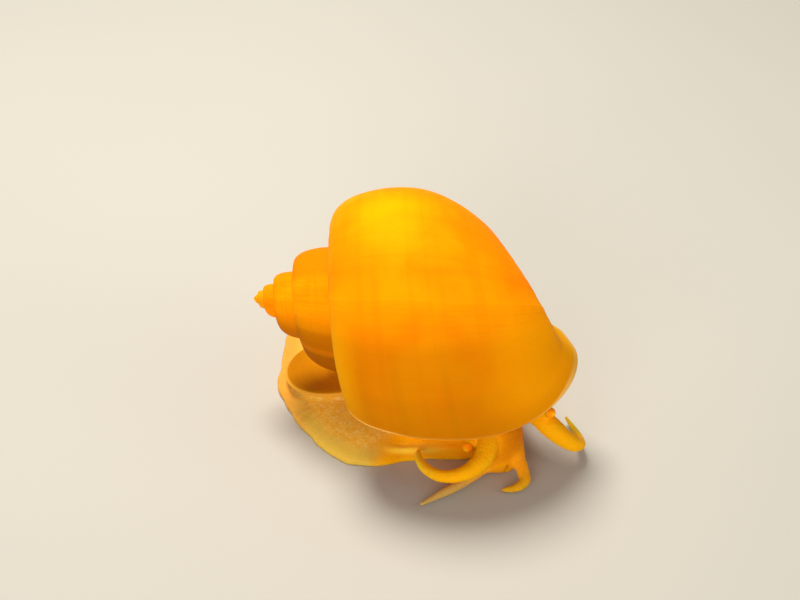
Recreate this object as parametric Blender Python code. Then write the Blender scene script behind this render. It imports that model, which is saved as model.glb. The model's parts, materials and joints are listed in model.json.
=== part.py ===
"""Life-size crawling apple snail, modelled as a still museum figure.

World frame in metres, +Z up. The sole lies on z = 0, +X is the way the snail crawls, and -Y is its
right side. The shell is grown from one whorl section turned about its axis, the soft body is lofted
from rings, and every piece that meets another keeps a gap of about 0.3 mm to it.
"""

import math

import bmesh
import bpy
from mathutils import Matrix, Vector

MM = 0.001
TURN = 2 * math.pi
GAP = 0.3 * MM
EYE_GAP = 0.15 * MM

# Shell: place of the apex, lie of the axis, and how much the whorl grows in one turn.
APEX = Vector((-21.0, 0.2, 17.0)) * MM
AXIS_YAW = math.radians(-6.4)
AXIS_PITCH = math.radians(2.5)
LIP_BELOW_LEVEL = math.radians(25.0)
RADIAL_GROWTH = 2.05
AXIAL_GROWTH = 1.88
WHORLS = 5.0
STEPS = 36
SPAN_STEPS = 2
# How full the whorl is against steady growth, at every quarter turn back from the lip.
FULLNESS = [1.0, 1.0, 1.0, 1.0, 0.92, 0.955, 0.97, 1.02, 1.07, 1.04]
QUARTERS = 4
# How much fuller it grows with every quarter turn towards the blunt apex, and from which one on.
APEX_WIDENING = 0.04
APEX_FROM = 10.5
# How far the base swells along the axis behind the lip, in millimetres, and over which angle.
BASE_SWELL = 0.65
SWELL_SPAN = math.radians(120.0)

# Whorl section at full size, in millimetres: distance from the axis, and distance along it from
# the apex.
SHOULDER = [(12.1, 14.8), (14.5, 14.5), (17.1, 15.5), (19.1, 17.8), (20.45, 21.1), (21.2, 24.6)]
SUTURE_LINE = (21.4, 28.4)
BASE = [
    (21.0, 31.5), (19.85, 34.9), (17.65, 38.7), (14.4, 42.4), (10.3, 44.8), (6.4, 44.9), (3.2, 42.5),
]
COLUMELLA_FOOT = 38.8
# The apex: its distance along the axis as a share of the first suture's, and the ring that rounds it.
APEX_DROP = 0.62
DOME_SHARE = 0.6
DOME_RISE = 0.12 * MM

# Mouth of the shell: how far the lip runs ahead of the suture, in degrees at even steps from the
# suture to the base.
SUTURE_END = math.radians(-1.0)
LIP_LEAD = [1.0, 4.0, 0.6, -0.9, 0.2, 6.0, 11.0, 17.5]
LEAD_STEPS = 4
LIP_RUN_IN = math.radians(80.0)
WALL = 0.9
CALLUS = 0.4
COLUMELLA = 3.6
COLUMELLA_REACH = 1.6
PILLAR_FROM = 26.5
PILLAR_RISE = 13.6
LOWEST_CALLUS = 25.2
CAVITY_DEPTH = math.radians(66.0)
CAVITY_STEPS = 6

# Mantle: its outline inside the whorl at full size, and its rings, as depth behind the lip in
# degrees and inset in millimetres.
MANTLE_OUTLINE = [
    (12.3, 16.7), (15.2, 16.5), (17.3, 18.6), (19.0, 22.2), (19.9, 26.3), (19.6, 30.6),
    (18.3, 34.5), (16.1, 38.3), (13.4, 41.3), (10.1, 43.1), (7.0, 43.1), (4.8, 41.1),
    (4.3, 37.3), (4.3, 32.3), (4.5, 27.9), (6.4, 25.3), (8.8, 22.7), (10.6, 19.5),
]
MANTLE_RINGS = [
    (61, 1.0), (55, 0.1), (44, 0.1), (33, 0.1), (22, 0.1), (11, 0.1), (6, 0.15), (3.8, 0.6),
    (3.5, 1.3), (6.5, 2.3),
]
# Radius at which the mantle's cutter is widened by the full gap.
SLACK_RADIUS = 6.0

# Sole outline, anticlockwise from the tip of the tail, in millimetres.
SOLE = [
    (-18.0, 0.8), (-16.8, -2.7), (-14.4, -7.7), (-11.3, -12.4), (-7.5, -15.9), (-4.0, -16.5),
    (0.0, -15.7), (4.2, -15.0), (8.4, -15.0), (11.8, -14.6), (14.8, -12.4), (16.8, -8.6),
    (17.6, -4.0), (17.2, 0.6), (14.6, 5.2), (9.6, 9.2), (3.2, 12.2), (-4.0, 14.6),
    (-10.6, 16.0), (-16.7, 14.6), (-17.6, 11.3), (-17.9, 6.0),
]
FOOT_CENTRE = Vector((-1.0, -1.0))
# Rings of the foot from the sole up: share of the outline, and height in millimetres.
FOOT_RINGS = [
    (0.975, 0.0), (0.998, 0.22), (1.0, 0.5), (0.985, 0.85), (0.94, 1.3), (0.86, 1.85),
    (0.74, 2.45), (0.58, 2.95), (0.4, 3.3), (0.2, 3.5),
]
FOOT_CUT_X = -1.2 * MM
# Side of the block that takes one half of the foot away.
FOOT_BLOCK = 60.0 * MM

# Operculum: a tilted teardrop plate on its pad at the back of the foot.
OPERCULUM_CENTRE = Vector((-8.6, 1.5, 4.15)) * MM
OPERCULUM_YAW = math.radians(-9.0)
OPERCULUM_PITCH = math.radians(-7.0)
OPERCULUM_LENGTH = 16.6 * MM
OPERCULUM_WIDTH = 13.6 * MM
OPERCULUM_THICKNESS = 0.8 * MM
OPERCULUM_TAPER = 0.14
OPERCULUM_SIDES = 40
# Rings of the plate from its underside over the rim to the middle: share of the outline, and
# height in millimetres.
PLATE_RINGS = [
    (0.55, -0.8), (0.93, -0.8), (1.0, -0.45), (0.97, -0.15), (0.8, -0.05), (0.45, -0.22), (0.12, -0.3),
]
# Rings of the pad under it: share of the plate's outline, and drop below the pad's top.
PAD_RINGS = [(0.86, 0.0), (0.9, 0.35), (0.88, 1.0)]
PAD_FOOT = (0.86, 0.6)

# Trunk rings: height, centre x and y, half length and half width, in millimetres.
TRUNK_RINGS = [
    (0.8, 6.2, -5.2, 9.6, 8.5), (2.2, 6.4, -5.3, 9.4, 8.3), (3.6, 6.9, -5.8, 9.0, 7.8),
    (5.4, 7.9, -6.6, 8.4, 7.1), (7.6, 9.4, -7.9, 7.4, 6.4), (10.0, 11.0, -9.6, 6.6, 5.4),
    (12.4, 12.0, -11.2, 6.0, 4.5), (14.6, 12.4, -12.4, 5.6, 3.9), (16.6, 12.4, -13.2, 5.2, 3.4),
]
TRUNK_SQUARENESS = 2.8
TRUNK_SIDES = 32

# Head and snout: centre, half width and half height of each ring, in millimetres, from the trunk
# to the lips.
HEAD_YAW = math.radians(-60.0)
HEAD_RINGS = [
    ((9.2, -8.0, 6.2), 3.9, 3.4), ((11.6, -11.2, 6.3), 4.1, 3.5), ((12.85, -13.5, 5.7), 3.85, 3.4),
    ((13.6, -15.1, 4.5), 3.45, 3.0), ((14.0, -16.05, 3.0), 3.15, 2.4), ((14.2, -16.5, 1.7), 3.2, 2.05),
    ((14.2, -16.7, 0.8), 2.95, 1.75), ((14.2, -16.75, 0.4), 2.2, 1.2),
]
MOUTH_CENTRE = Vector((14.6, -17.7, 0.9)) * MM
MOUTH_LENGTH = 2.4 * MM
MOUTH_WIDTH = 0.6 * MM
MOUTH_DEPTH = 1.1 * MM
HEAD_SIDES = 28

# Feelers: route of the middle line and its radius, in millimetres, from the head to the tip.
RIGHT_TENTACLE = [
    ((13.0, -13.2, 6.2), 1.5), ((12.3, -16.4, 5.7), 1.44), ((11.8, -18.4, 4.9), 1.42),
    ((11.2, -19.8, 4.3), 1.36), ((10.1, -21.0, 3.9), 1.22), ((8.6, -22.0, 3.6), 1.05),
    ((6.9, -22.2, 3.3), 0.9), ((5.1, -21.6, 3.0), 0.84), ((3.7, -20.1, 2.7), 0.76),
    ((2.8, -18.2, 2.4), 0.62), ((2.5, -16.6, 2.2), 0.48), ((2.6, -15.6, 2.1), 0.32),
]
LEFT_TENTACLE = [
    ((16.4, -10.4, 6.7), 1.6), ((19.1, -12.8, 6.3), 1.5), ((20.3, -14.0, 5.7), 1.5),
    ((21.5, -14.7, 4.9), 1.45), ((22.7, -15.2, 4.1), 1.3), ((23.9, -15.3, 3.3), 1.1),
    ((24.9, -14.7, 2.6), 0.87), ((25.2, -13.3, 2.1), 0.66), ((24.9, -11.6, 1.8), 0.53),
    ((24.5, -9.9, 1.5), 0.42), ((24.0, -8.1, 1.3), 0.3), ((23.7, -7.1, 1.2), 0.2),
]
TENTACLE_CUTS = (0.36, 0.68)
TENTACLE_MIDDLES = (0.18, 0.52, 0.85)
RIGHT_PALP = [
    ((13.2, -16.4, 1.9), 1.1), ((12.2, -17.4, 1.8), 0.95), ((11.0, -18.6, 1.35), 0.85),
    ((9.6, -19.9, 1.1), 0.76), ((8.2, -21.0, 0.95), 0.71), ((6.8, -22.1, 0.85), 0.64),
    ((5.4, -23.0, 0.75), 0.53), ((4.0, -23.9, 0.6), 0.36), ((2.9, -24.6, 0.5), 0.24),
]
LEFT_PALP = [
    ((15.6, -15.8, 2.4), 1.1), ((16.1, -17.1, 2.2), 0.98), ((16.6, -18.3, 1.8), 0.9),
    ((16.9, -19.5, 1.4), 0.83), ((17.0, -20.6, 1.1), 0.75), ((16.2, -21.5, 0.9), 0.61),
    ((15.2, -21.8, 0.7), 0.45), ((14.1, -21.8, 0.55), 0.25),
]
FEELER_SPAN_STEPS = 2
DISC_RADIUS = 2.2 * MM

# Eyes: root of the stalk, middle of the eyeball, and radii, in millimetres.
RIGHT_EYE = ((11.6, -13.4, 4.9), (9.5, -16.7, 4.1))
LEFT_EYE = ((17.6, -11.2, 7.2), (20.35, -14.35, 8.1))
STALK_RADIUS = 0.98
EYE_RADIUS = 0.74
EYE_SEGMENTS = 14
EYE_RINGS = 9
EYE_FORWARD = 0.35
STALK_END = 0.15
# Shape of the stalk: share of its length, and share of its radius.
STALK_SHAPE = [(0.0, 1.15), (0.5, 1.0), (0.85, 0.95), (1.0, 0.6)]

# Siphon fold: the left neck lobe, drawn in and half rolled beside the trunk.
SIPHON_ROUTE = [
    ((11.4, -4.6, 8.4), 2.3), ((13.2, -2.9, 8.7), 2.2), ((14.9, -1.5, 8.5), 1.95), ((16.3, -0.5, 7.9), 1.65),
    ((17.0, 0.0, 7.4), 1.45),
]
GUTTER_SHARE = 0.6
GUTTER_DROP = 0.75
GUTTER_BEYOND = 1.5

# Points this near each other are one, and an edge bent more than this is drawn sharp.
WELD = 0.01 * MM
SHARP_ANGLE = math.radians(50.0)

# Colour and roughness of each material.
FINISHES = {
    "shell_gold": ((0.9, 0.42, 0.03), 0.3),
    "operculum_amber": ((0.35, 0.14, 0.02), 0.5),
    "foot_cream": ((0.85, 0.62, 0.3), 0.45),
    "head_orange": ((0.85, 0.38, 0.05), 0.45),
    "feeler_yellow": ((0.9, 0.55, 0.05), 0.4),
    "eye_red": ((0.5, 0.08, 0.01), 0.15),
}


def new_object(name, mesh, collection, material=None):
    """Adds a mesh to the collection under its node name."""
    obj = bpy.data.objects.new(name, mesh)
    collection.objects.link(obj)
    if material:
        obj.data.materials.append(material)
    return obj


def make_material(name, colour, roughness):
    """A Principled material with one colour and roughness."""
    material = bpy.data.materials.new(name)
    material.use_nodes = True
    shader = material.node_tree.nodes["Principled BSDF"]
    shader.inputs["Base Color"].default_value = (*colour, 1.0)
    shader.inputs["Roughness"].default_value = roughness
    shader.inputs["Metallic"].default_value = 0.0
    return material


def smooth_path(points, steps):
    """Catmull-Rom curve through points of any size, with this many steps to each span."""
    ends = [points[0], *points, points[-1]]
    path = []
    for before, start, end, after in zip(ends, ends[1:], ends[2:], ends[3:]):
        for step in range(steps):
            t = step / steps
            weights = (
                -0.5 * t + t * t - 0.5 * t**3,
                1 - 2.5 * t * t + 1.5 * t**3,
                0.5 * t + 2 * t * t - 1.5 * t**3,
                -0.5 * t * t + 0.5 * t**3,
            )
            corners = (before, start, end, after)
            path.append(
                tuple(sum(w * c[k] for w, c in zip(weights, corners)) for k in range(len(start)))
            )
    path.append(tuple(points[-1]))
    return path


def smooth_loop(points, steps):
    """Closed Catmull-Rom curve through the points."""
    count = len(points)
    wrapped = [points[k % count] for k in range(-2, count + 3)]
    return smooth_path(wrapped, steps)[2 * steps : (count + 2) * steps]


def bridge(bm, first, second, closed):
    """Quads between two rows of vertices of the same length; a vertex the rows share makes a triangle."""
    count = len(first)
    for k in range(count if closed else count - 1):
        corners = [first[k], first[(k + 1) % count], second[(k + 1) % count], second[k]]
        faces = [v for n, v in enumerate(corners) if v not in corners[:n]]
        if len(faces) > 2:
            bm.faces.new(faces)


def fan(bm, row, tip, closed):
    """Triangles from a row of vertices to one tip."""
    count = len(row)
    for k in range(count if closed else count - 1):
        bm.faces.new((row[k], row[(k + 1) % count], tip))


def finish_mesh(bm, name):
    """Closes the bmesh into a mesh whose faces are triangles that point out."""
    bmesh.ops.triangulate(bm, faces=bm.faces[:])
    bmesh.ops.recalc_face_normals(bm, faces=bm.faces[:])
    mesh = bpy.data.meshes.new(name)
    bm.to_mesh(mesh)
    bm.free()
    mesh.shade_smooth()
    return mesh


def loft(name, rings):
    """Closed mesh through rings of points, with a fan over each end."""
    bm = bmesh.new()
    rows = [[bm.verts.new(p) for p in ring] for ring in rings]
    for first, second in zip(rows, rows[1:]):
        bridge(bm, first, second, True)
    for ring, row in ((rings[0], rows[0]), (rings[-1], rows[-1])):
        fan(bm, row, bm.verts.new(sum((Vector(p) for p in ring), Vector()) / len(ring)), True)
    return finish_mesh(bm, name)


def islands(bm):
    """Face sets of the loose parts of a bmesh, the smallest first."""
    left, parts = set(bm.faces), []
    while left:
        part, edge = set(), [left.pop()]
        while edge:
            face = edge.pop()
            part.add(face)
            near = {f for e in face.edges for f in e.link_faces if f in left}
            left -= near
            edge.extend(near)
        parts.append(part)
    return sorted(parts, key=len)


def largest_piece(mesh):
    """Deletes every loose part of the mesh but the one with most faces."""
    bm = bmesh.new()
    bm.from_mesh(mesh)
    bmesh.ops.delete(bm, geom=[f for part in islands(bm)[:-1] for f in part], context="FACES")
    bm.to_mesh(mesh)
    bm.free()


def nearest_piece(obj, name, place, collection):
    """A new object from the loose part of the object that lies round a place."""
    bm = bmesh.new()
    bm.from_mesh(obj.data)
    parts = islands(bm)

    def distance(part):
        return min((v.co - place).length for face in part for v in face.verts)

    wanted = min(parts, key=distance)
    bmesh.ops.delete(bm, geom=[f for part in parts if part is not wanted for f in part], context="FACES")
    mesh = obj.data.copy()
    mesh.name = name
    bm.to_mesh(mesh)
    bm.free()
    return new_object(name, mesh, collection)


def boolean(obj, others, operation, keep_all=False):
    """Joins the other objects to this one, or cuts them from it, and removes them."""
    helpers = bpy.data.collections.new(obj.name + "_helpers")
    for other in others:
        for home in list(other.users_collection):
            home.objects.unlink(other)
        helpers.objects.link(other)
    bpy.context.scene.collection.children.link(helpers)
    modifier = obj.modifiers.new("shape", "BOOLEAN")
    modifier.operand_type = "COLLECTION"
    modifier.collection = helpers
    modifier.operation = operation
    modifier.solver = "EXACT"
    bpy.context.view_layer.update()
    graph = bpy.context.evaluated_depsgraph_get()
    shaped = bpy.data.meshes.new_from_object(obj.evaluated_get(graph))
    obj.modifiers.clear()
    obj.data = shaped
    for other in others:
        bpy.data.objects.remove(other)
    bpy.data.collections.remove(helpers)
    if not keep_all:
        largest_piece(obj.data)
    obj.data.shade_smooth()
    return obj


def grown(obj, distance, collection):
    """A copy of the object with every point moved out along its normal."""
    mesh = obj.data.copy()
    bm = bmesh.new()
    bm.from_mesh(mesh)
    bm.normal_update()
    for vertex in bm.verts:
        vertex.co += vertex.normal * distance
    bm.to_mesh(mesh)
    bm.free()
    return new_object(obj.name + "_cutter", mesh, collection)


def shell_frame():
    """Matrix from the shell's own frame, axis along +Z and lip along +X, to the world."""
    level = math.cos(AXIS_PITCH)
    axis = Vector((math.cos(AXIS_YAW) * level, math.sin(AXIS_YAW) * level, math.sin(AXIS_PITCH)))
    towards_lip = Vector((0.0, -math.cos(LIP_BELOW_LEVEL), -math.sin(LIP_BELOW_LEVEL)))
    lip = (towards_lip - axis * towards_lip.dot(axis)).normalized()
    side = axis.cross(lip)
    turn = Matrix((lip, side, axis)).transposed().to_4x4()
    return Matrix.Translation(APEX) @ turn


def smoothstep(x):
    """0 below 0, 1 above 1, and smooth between."""
    x = min(max(x, 0.0), 1.0)
    return x * x * (3 - 2 * x)


def radial_growth(angle):
    """Share of the full radius that the whorl has at this angle from the lip."""
    quarters = max(-QUARTERS * angle / TURN, 0.0)
    last = len(FULLNESS) - 1
    near = min(int(quarters), last)
    far = min(near + 1, last)
    fullness = FULLNESS[near] + (FULLNESS[far] - FULLNESS[near]) * smoothstep(quarters - near)
    fullness += APEX_WIDENING * max(quarters - APEX_FROM, 0.0)
    return fullness * RADIAL_GROWTH ** (angle / TURN)


def base_swell(along, angle):
    """How far this part of the section swells along the axis, in millimetres."""
    if not -SWELL_SPAN < angle < 0:
        return 0.0
    share = max(along - SUTURE_LINE[1], 0.0) / (BASE[-2][1] - SUTURE_LINE[1])
    return BASE_SWELL * share * math.sin(math.pi * angle / SWELL_SPAN) ** 2


def shell_point(radius, along, turn, advance=0.0):
    """Point of the shell that grows from (radius, along) of the section, at this angle from the lip."""
    angle = turn + advance * smoothstep((turn - SUTURE_END + LIP_RUN_IN) / LIP_RUN_IN)
    out = radius * radial_growth(angle) * MM
    down = (along * AXIAL_GROWTH ** (angle / TURN) + base_swell(along, angle)) * MM
    return Vector((out * math.cos(angle), out * math.sin(angle), down))


def whorl_section():
    """Section points from suture to axis, the row that carries the next whorl, and the lip's advance."""
    suture = (SUTURE_LINE[0] / RADIAL_GROWTH, SUTURE_LINE[1] / AXIAL_GROWTH)
    controls = [suture, *SHOULDER, SUTURE_LINE, *BASE]
    section = smooth_path(controls, SPAN_STEPS)
    seat = (len(SHOULDER) + 1) * SPAN_STEPS
    advance = [math.radians(lead) for lead, in smooth_path([(lead,) for lead in LIP_LEAD], LEAD_STEPS)]
    return section, seat, advance


def inset(loop, distance):
    """Closed outline of (radius, along) points moved in by the distance."""
    count = len(loop)
    area = sum(a[0] * b[1] - b[0] * a[1] for a, b in zip(loop, loop[1:] + loop[:1]))
    side = 1 if area > 0 else -1
    moved = []
    for k, point in enumerate(loop):
        before, after = Vector(loop[k - 1]), Vector(loop[(k + 1) % count])
        along = (after - before).normalized()
        moved.append((point[0] - side * along[1] * distance, point[1] + side * along[0] * distance))
    return moved


def mouth_outline():
    """Rows of the aperture's rim and of the opening inside its wall, as (radius, along, lip advance)."""
    section, seat, advance = whorl_section()
    last = len(section) - 1
    radial, axial = radial_growth(-TURN), 1 / AXIAL_GROWTH
    pillar_top = COLUMELLA_FOOT / AXIAL_GROWTH
    outer = [(*section[k], advance[k]) for k in range(last + 1)]
    pillar = []
    for k in range(STEPS + 1):
        share = k / STEPS
        pillar.append((0.0, COLUMELLA_FOOT * AXIAL_GROWTH ** (-share), advance[last] * (1 - share)))
    parietal = [(section[k][0] * radial, section[k][1] * axial, 0.0) for k in range(last, seat, -1)]
    rim = [*outer, *pillar, *parietal]
    opening = []
    for k, (radius, along, ahead) in enumerate(rim):
        if k <= last:
            before, after = rim[max(k - 1, 0)], rim[k + 1]
            thickness = WALL
        elif k < len(outer) + len(pillar):
            share = (along - pillar_top) / (COLUMELLA_FOOT - pillar_top)
            opening.append((COLUMELLA, PILLAR_FROM + share * PILLAR_RISE, ahead))
            continue
        else:
            before, after = rim[k - 1], rim[(k + 1) % len(rim)]
            thickness = CALLUS
        run = (Vector(after[:2]) - Vector(before[:2])).normalized()
        out = radius - run[1] * thickness
        down = along + run[0] * thickness
        if out < COLUMELLA + COLUMELLA_REACH:
            down = max(down, LOWEST_CALLUS)
        opening.append((max(out, COLUMELLA), down, ahead))
    return rim, opening


def build_shell(collection, material):
    """The whole shell: whorls from apex to lip, the lip's edge, and the hollow that the mantle fills."""
    section, seat, advance = whorl_section()
    last = len(section) - 1
    frame = shell_frame()
    bm = bmesh.new()
    columns = []
    total = round(WHORLS * STEPS)
    for step in range(total + 1):
        turn = SUTURE_END + (step - total) * TURN / STEPS
        deepest = last if step >= total - STEPS else seat
        column = [columns[step - STEPS][seat]] if step >= STEPS else []
        for row in range(len(column), deepest + 1):
            place = shell_point(*section[row], turn, advance[row])
            column.append(bm.verts.new(frame @ place))
        columns.append(column)
    for first, second in zip(columns, columns[1:]):
        rows = min(len(first), len(second))
        bridge(bm, first[:rows], second[:rows], False)
    first_turn = SUTURE_END - total * TURN / STEPS
    apex = frame @ shell_point(0.0, section[0][1] * APEX_DROP, first_turn)
    rise = frame.to_3x3() @ Vector((0.0, 0.0, DOME_RISE))
    tip = [column[0] for column in columns[: STEPS + 1]] + columns[0][-2:0:-1]
    dome = [bm.verts.new(apex + (vert.co - apex) * DOME_SHARE - rise) for vert in tip]
    bridge(bm, tip, dome, True)
    fan(bm, dome, bm.verts.new(apex), True)
    body = columns[-STEPS - 1 :]
    pillar = []
    for step, column in enumerate(body):
        turn = SUTURE_END + (step - STEPS) * TURN / STEPS
        pillar.append(bm.verts.new(frame @ shell_point(0.0, COLUMELLA_FOOT, turn)))
    bridge(bm, [column[last] for column in body], pillar, False)
    rim_verts = [*body[-1], *pillar[::-1], *body[0][last:seat:-1]]
    _, opening = mouth_outline()
    previous = rim_verts
    for step in range(CAVITY_STEPS + 1):
        depth = CAVITY_DEPTH * step / CAVITY_STEPS
        row = []
        for radius, along, ahead in opening:
            row.append(bm.verts.new(frame @ cavity_point(radius, along, ahead, depth)))
        bridge(bm, previous, row, True)
        previous = row
    centre = sum((v.co for v in previous), Vector()) / len(previous)
    fan(bm, previous, bm.verts.new(centre), True)
    bmesh.ops.remove_doubles(bm, verts=bm.verts[:], dist=WELD)
    return new_object("shell", finish_mesh(bm, "shell"), collection, material)


def cavity_point(radius, along, ahead, depth):
    """Point of the aperture's inner wall, this angle behind the lip's edge."""
    lead = ahead * (1 - depth / CAVITY_DEPTH)
    return shell_point(radius, along, SUTURE_END + lead - depth)


def lip_lead_at(along):
    """How far the lip runs ahead of the suture at this distance along the axis."""
    section, _, advance = whorl_section()
    for (_, near), (_, far), start, end in zip(section[4:], section[5:], advance[4:], advance[5:]):
        if near <= along <= far:
            return start + (end - start) * (along - near) / (far - near)
    return 0.0


def build_mantle(collection, material, slack=0.0):
    """Fleshy plug that fills the hollow of the shell, with a rolled collar behind the lip."""
    frame = shell_frame()
    outline = smooth_loop(MANTLE_OUTLINE, 2)
    leads = [lip_lead_at(along) for _, along in outline]
    rings = []
    for depth, distance in MANTLE_RINGS:
        moved = inset(outline, distance - slack)
        angle = math.radians(depth) - slack / SLACK_RADIUS
        rings.append([frame @ cavity_point(*point, lead, angle) for point, lead in zip(moved, leads)])
    return new_object("mantle", loft("mantle", rings), collection, material)


def build_foot(collection, material):
    """Broad foot with a thin edge, made whole with the operculum's pad."""
    outline = [Vector(p) for p in smooth_loop(SOLE, 3)]
    rings = []
    for share, height in FOOT_RINGS:
        ring = []
        for point in outline:
            x, y = FOOT_CENTRE + (point - FOOT_CENTRE) * share
            ring.append(Vector((x, y, height)) * MM)
        rings.append(ring)
    foot = new_object("foot_front", loft("foot_front", rings), collection, material)
    return boolean(foot, [build_pad(collection)], "UNION")


def operculum_frame():
    """Matrix that lays a flat plate on the back of the foot."""
    turn = Matrix.Rotation(OPERCULUM_YAW, 4, "Z") @ Matrix.Rotation(OPERCULUM_PITCH, 4, "Y")
    return Matrix.Translation(OPERCULUM_CENTRE) @ turn


def teardrop(share, height):
    """Outline of the operculum at a share of its size, blunt at the tail and narrower in front."""
    ring = []
    for k in range(OPERCULUM_SIDES):
        angle = TURN * k / OPERCULUM_SIDES
        x = 0.5 * OPERCULUM_LENGTH * math.cos(angle)
        taper = 1 - OPERCULUM_TAPER * math.cos(angle)
        y = 0.5 * OPERCULUM_WIDTH * math.sin(angle) * taper
        ring.append(Vector((x * share, y * share, height)))
    return ring


def build_pad(collection):
    """Raised lobe of the foot that carries the operculum."""
    frame = operculum_frame()
    top = -OPERCULUM_THICKNESS - GAP
    rings = [[frame @ p for p in teardrop(share, top - drop * MM)] for share, drop in PAD_RINGS]
    share, height = PAD_FOOT
    lowest = [Vector((p.x, p.y, height * MM)) for p in (frame @ q for q in teardrop(share, 0))]
    return new_object("pad", loft("pad", [*rings, lowest]), collection)


def build_operculum(collection, material):
    """Horny plate, slightly dished, with a thinner edge."""
    frame = operculum_frame()
    rings = [[frame @ p for p in teardrop(share, height * MM)] for share, height in PLATE_RINGS]
    return new_object("operculum", loft("operculum", rings), collection, material)


def build_trunk(collection, material):
    """Column of the body from the foot up into the shell."""
    rings = []
    for height, x, y, long_half, wide_half in TRUNK_RINGS:
        ring = []
        for k in range(TRUNK_SIDES):
            angle = TURN * k / TRUNK_SIDES
            c, s = math.cos(angle), math.sin(angle)
            out = (abs(c) ** TRUNK_SQUARENESS + abs(s) ** TRUNK_SQUARENESS) ** (-1 / TRUNK_SQUARENESS)
            ring.append(Vector((x + long_half * c * out, y + wide_half * s * out, height)) * MM)
        rings.append(ring)
    return new_object("neck", loft("neck", rings), collection, material)


def build_head(collection, material):
    """Head and snout, bent down so that the lips touch the ground in front of the foot."""
    stations = smooth_path([(*centre, wide, high) for centre, wide, high in HEAD_RINGS], 2)
    across = Vector((-math.sin(HEAD_YAW), math.cos(HEAD_YAW), 0.0))
    rings = []
    for k, station in enumerate(stations):
        centre = Vector(station[:3])
        before, after = stations[max(k - 1, 0)], stations[min(k + 1, len(stations) - 1)]
        along = (Vector(after[:3]) - Vector(before[:3])).normalized()
        side = (across - along * across.dot(along)).normalized()
        upward = side.cross(along)
        ring = []
        for n in range(HEAD_SIDES):
            angle = TURN * n / HEAD_SIDES
            offset = side * station[3] * math.cos(angle) + upward * station[4] * math.sin(angle)
            ring.append((centre + offset) * MM)
        rings.append(ring)
    head = new_object("head", loft("head", rings), collection, material)
    return boolean(head, [build_mouth_cutter(collection)], "DIFFERENCE")


def build_mouth_cutter(collection):
    """Narrow lens that presses the mouth's slit into the end of the snout."""
    bm = bmesh.new()
    bmesh.ops.create_uvsphere(bm, u_segments=12, v_segments=8, radius=0.5)
    size = Matrix.Diagonal((MOUTH_WIDTH, MOUTH_DEPTH, MOUTH_LENGTH, 1.0))
    place = Matrix.Translation(MOUTH_CENTRE) @ Matrix.Rotation(HEAD_YAW + TURN / 4, 4, "Z") @ size
    bmesh.ops.transform(bm, matrix=place, verts=bm.verts[:])
    return new_object("mouth_slit", finish_mesh(bm, "mouth_slit"), collection)


def tube(name, stations, collection, material, resolution=3):
    """Tapering round feeler along stations of (x, y, z, radius) in millimetres, as a welded mesh."""
    curve = bpy.data.curves.new(name, "CURVE")
    curve.dimensions = "3D"
    curve.bevel_depth = 1.0 * MM
    curve.bevel_resolution = resolution
    curve.use_fill_caps = True
    spline = curve.splines.new("POLY")
    spline.points.add(len(stations) - 1)
    for point, (x, y, z, radius) in zip(spline.points, stations):
        point.co = (x * MM, y * MM, z * MM, 1.0)
        point.radius = radius
    guide = bpy.data.objects.new(name + "_route", curve)
    collection.objects.link(guide)
    bpy.context.view_layer.update()
    graph = bpy.context.evaluated_depsgraph_get()
    mesh = bpy.data.meshes.new_from_object(guide.evaluated_get(graph))
    bpy.data.objects.remove(guide)
    bm = bmesh.new()
    bm.from_mesh(mesh)
    bpy.data.meshes.remove(mesh)
    bmesh.ops.remove_doubles(bm, verts=bm.verts[:], dist=WELD)
    return new_object(name, finish_mesh(bm, name), collection, material)


def along_path(path, share):
    """Place and direction of a path of (x, y, z, radius) stations at a share of its length."""
    points = [Vector(p[:3]) * MM for p in path]
    lengths = [(b - a).length for a, b in zip(points, points[1:])]
    left = share * sum(lengths)
    for a, b, length in zip(points, points[1:], lengths):
        if left <= length:
            break
        left -= length
    return a.lerp(b, left / length), (b - a).normalized()


def thin_disc(place, direction, radius, collection):
    """Disc as thick as the gap, square to a direction."""
    bm = bmesh.new()
    bmesh.ops.create_cone(bm, cap_ends=True, segments=16, radius1=radius, radius2=radius, depth=GAP)
    turn = direction.to_track_quat("Z", "Y").to_matrix().to_4x4()
    bmesh.ops.transform(bm, matrix=Matrix.Translation(place) @ turn, verts=bm.verts[:])
    return new_object("disc", finish_mesh(bm, "disc"), collection)


def build_tentacle(side, route, collection, material):
    """One head tentacle, parted by thin cuts into three lengths."""
    path = smooth_path([(*place, radius) for place, radius in route], FEELER_SPAN_STEPS)
    whole = tube("whole_feeler", path, collection, material, 4)
    discs = [thin_disc(*along_path(path, share), DISC_RADIUS, collection) for share in TENTACLE_CUTS]
    boolean(whole, discs, "DIFFERENCE", keep_all=True)
    pieces = []
    for number, share in enumerate(TENTACLE_MIDDLES, 1):
        place, _ = along_path(path, share)
        pieces.append(nearest_piece(whole, f"tentacle_{side}_{number}", place, collection))
    bpy.data.objects.remove(whole)
    return pieces


def build_palp(side, route, collection, material):
    """One of the two long lips beside the mouth."""
    path = smooth_path([(*place, radius) for place, radius in route], FEELER_SPAN_STEPS)
    return tube(f"palp_{side}", path, collection, material)


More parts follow.
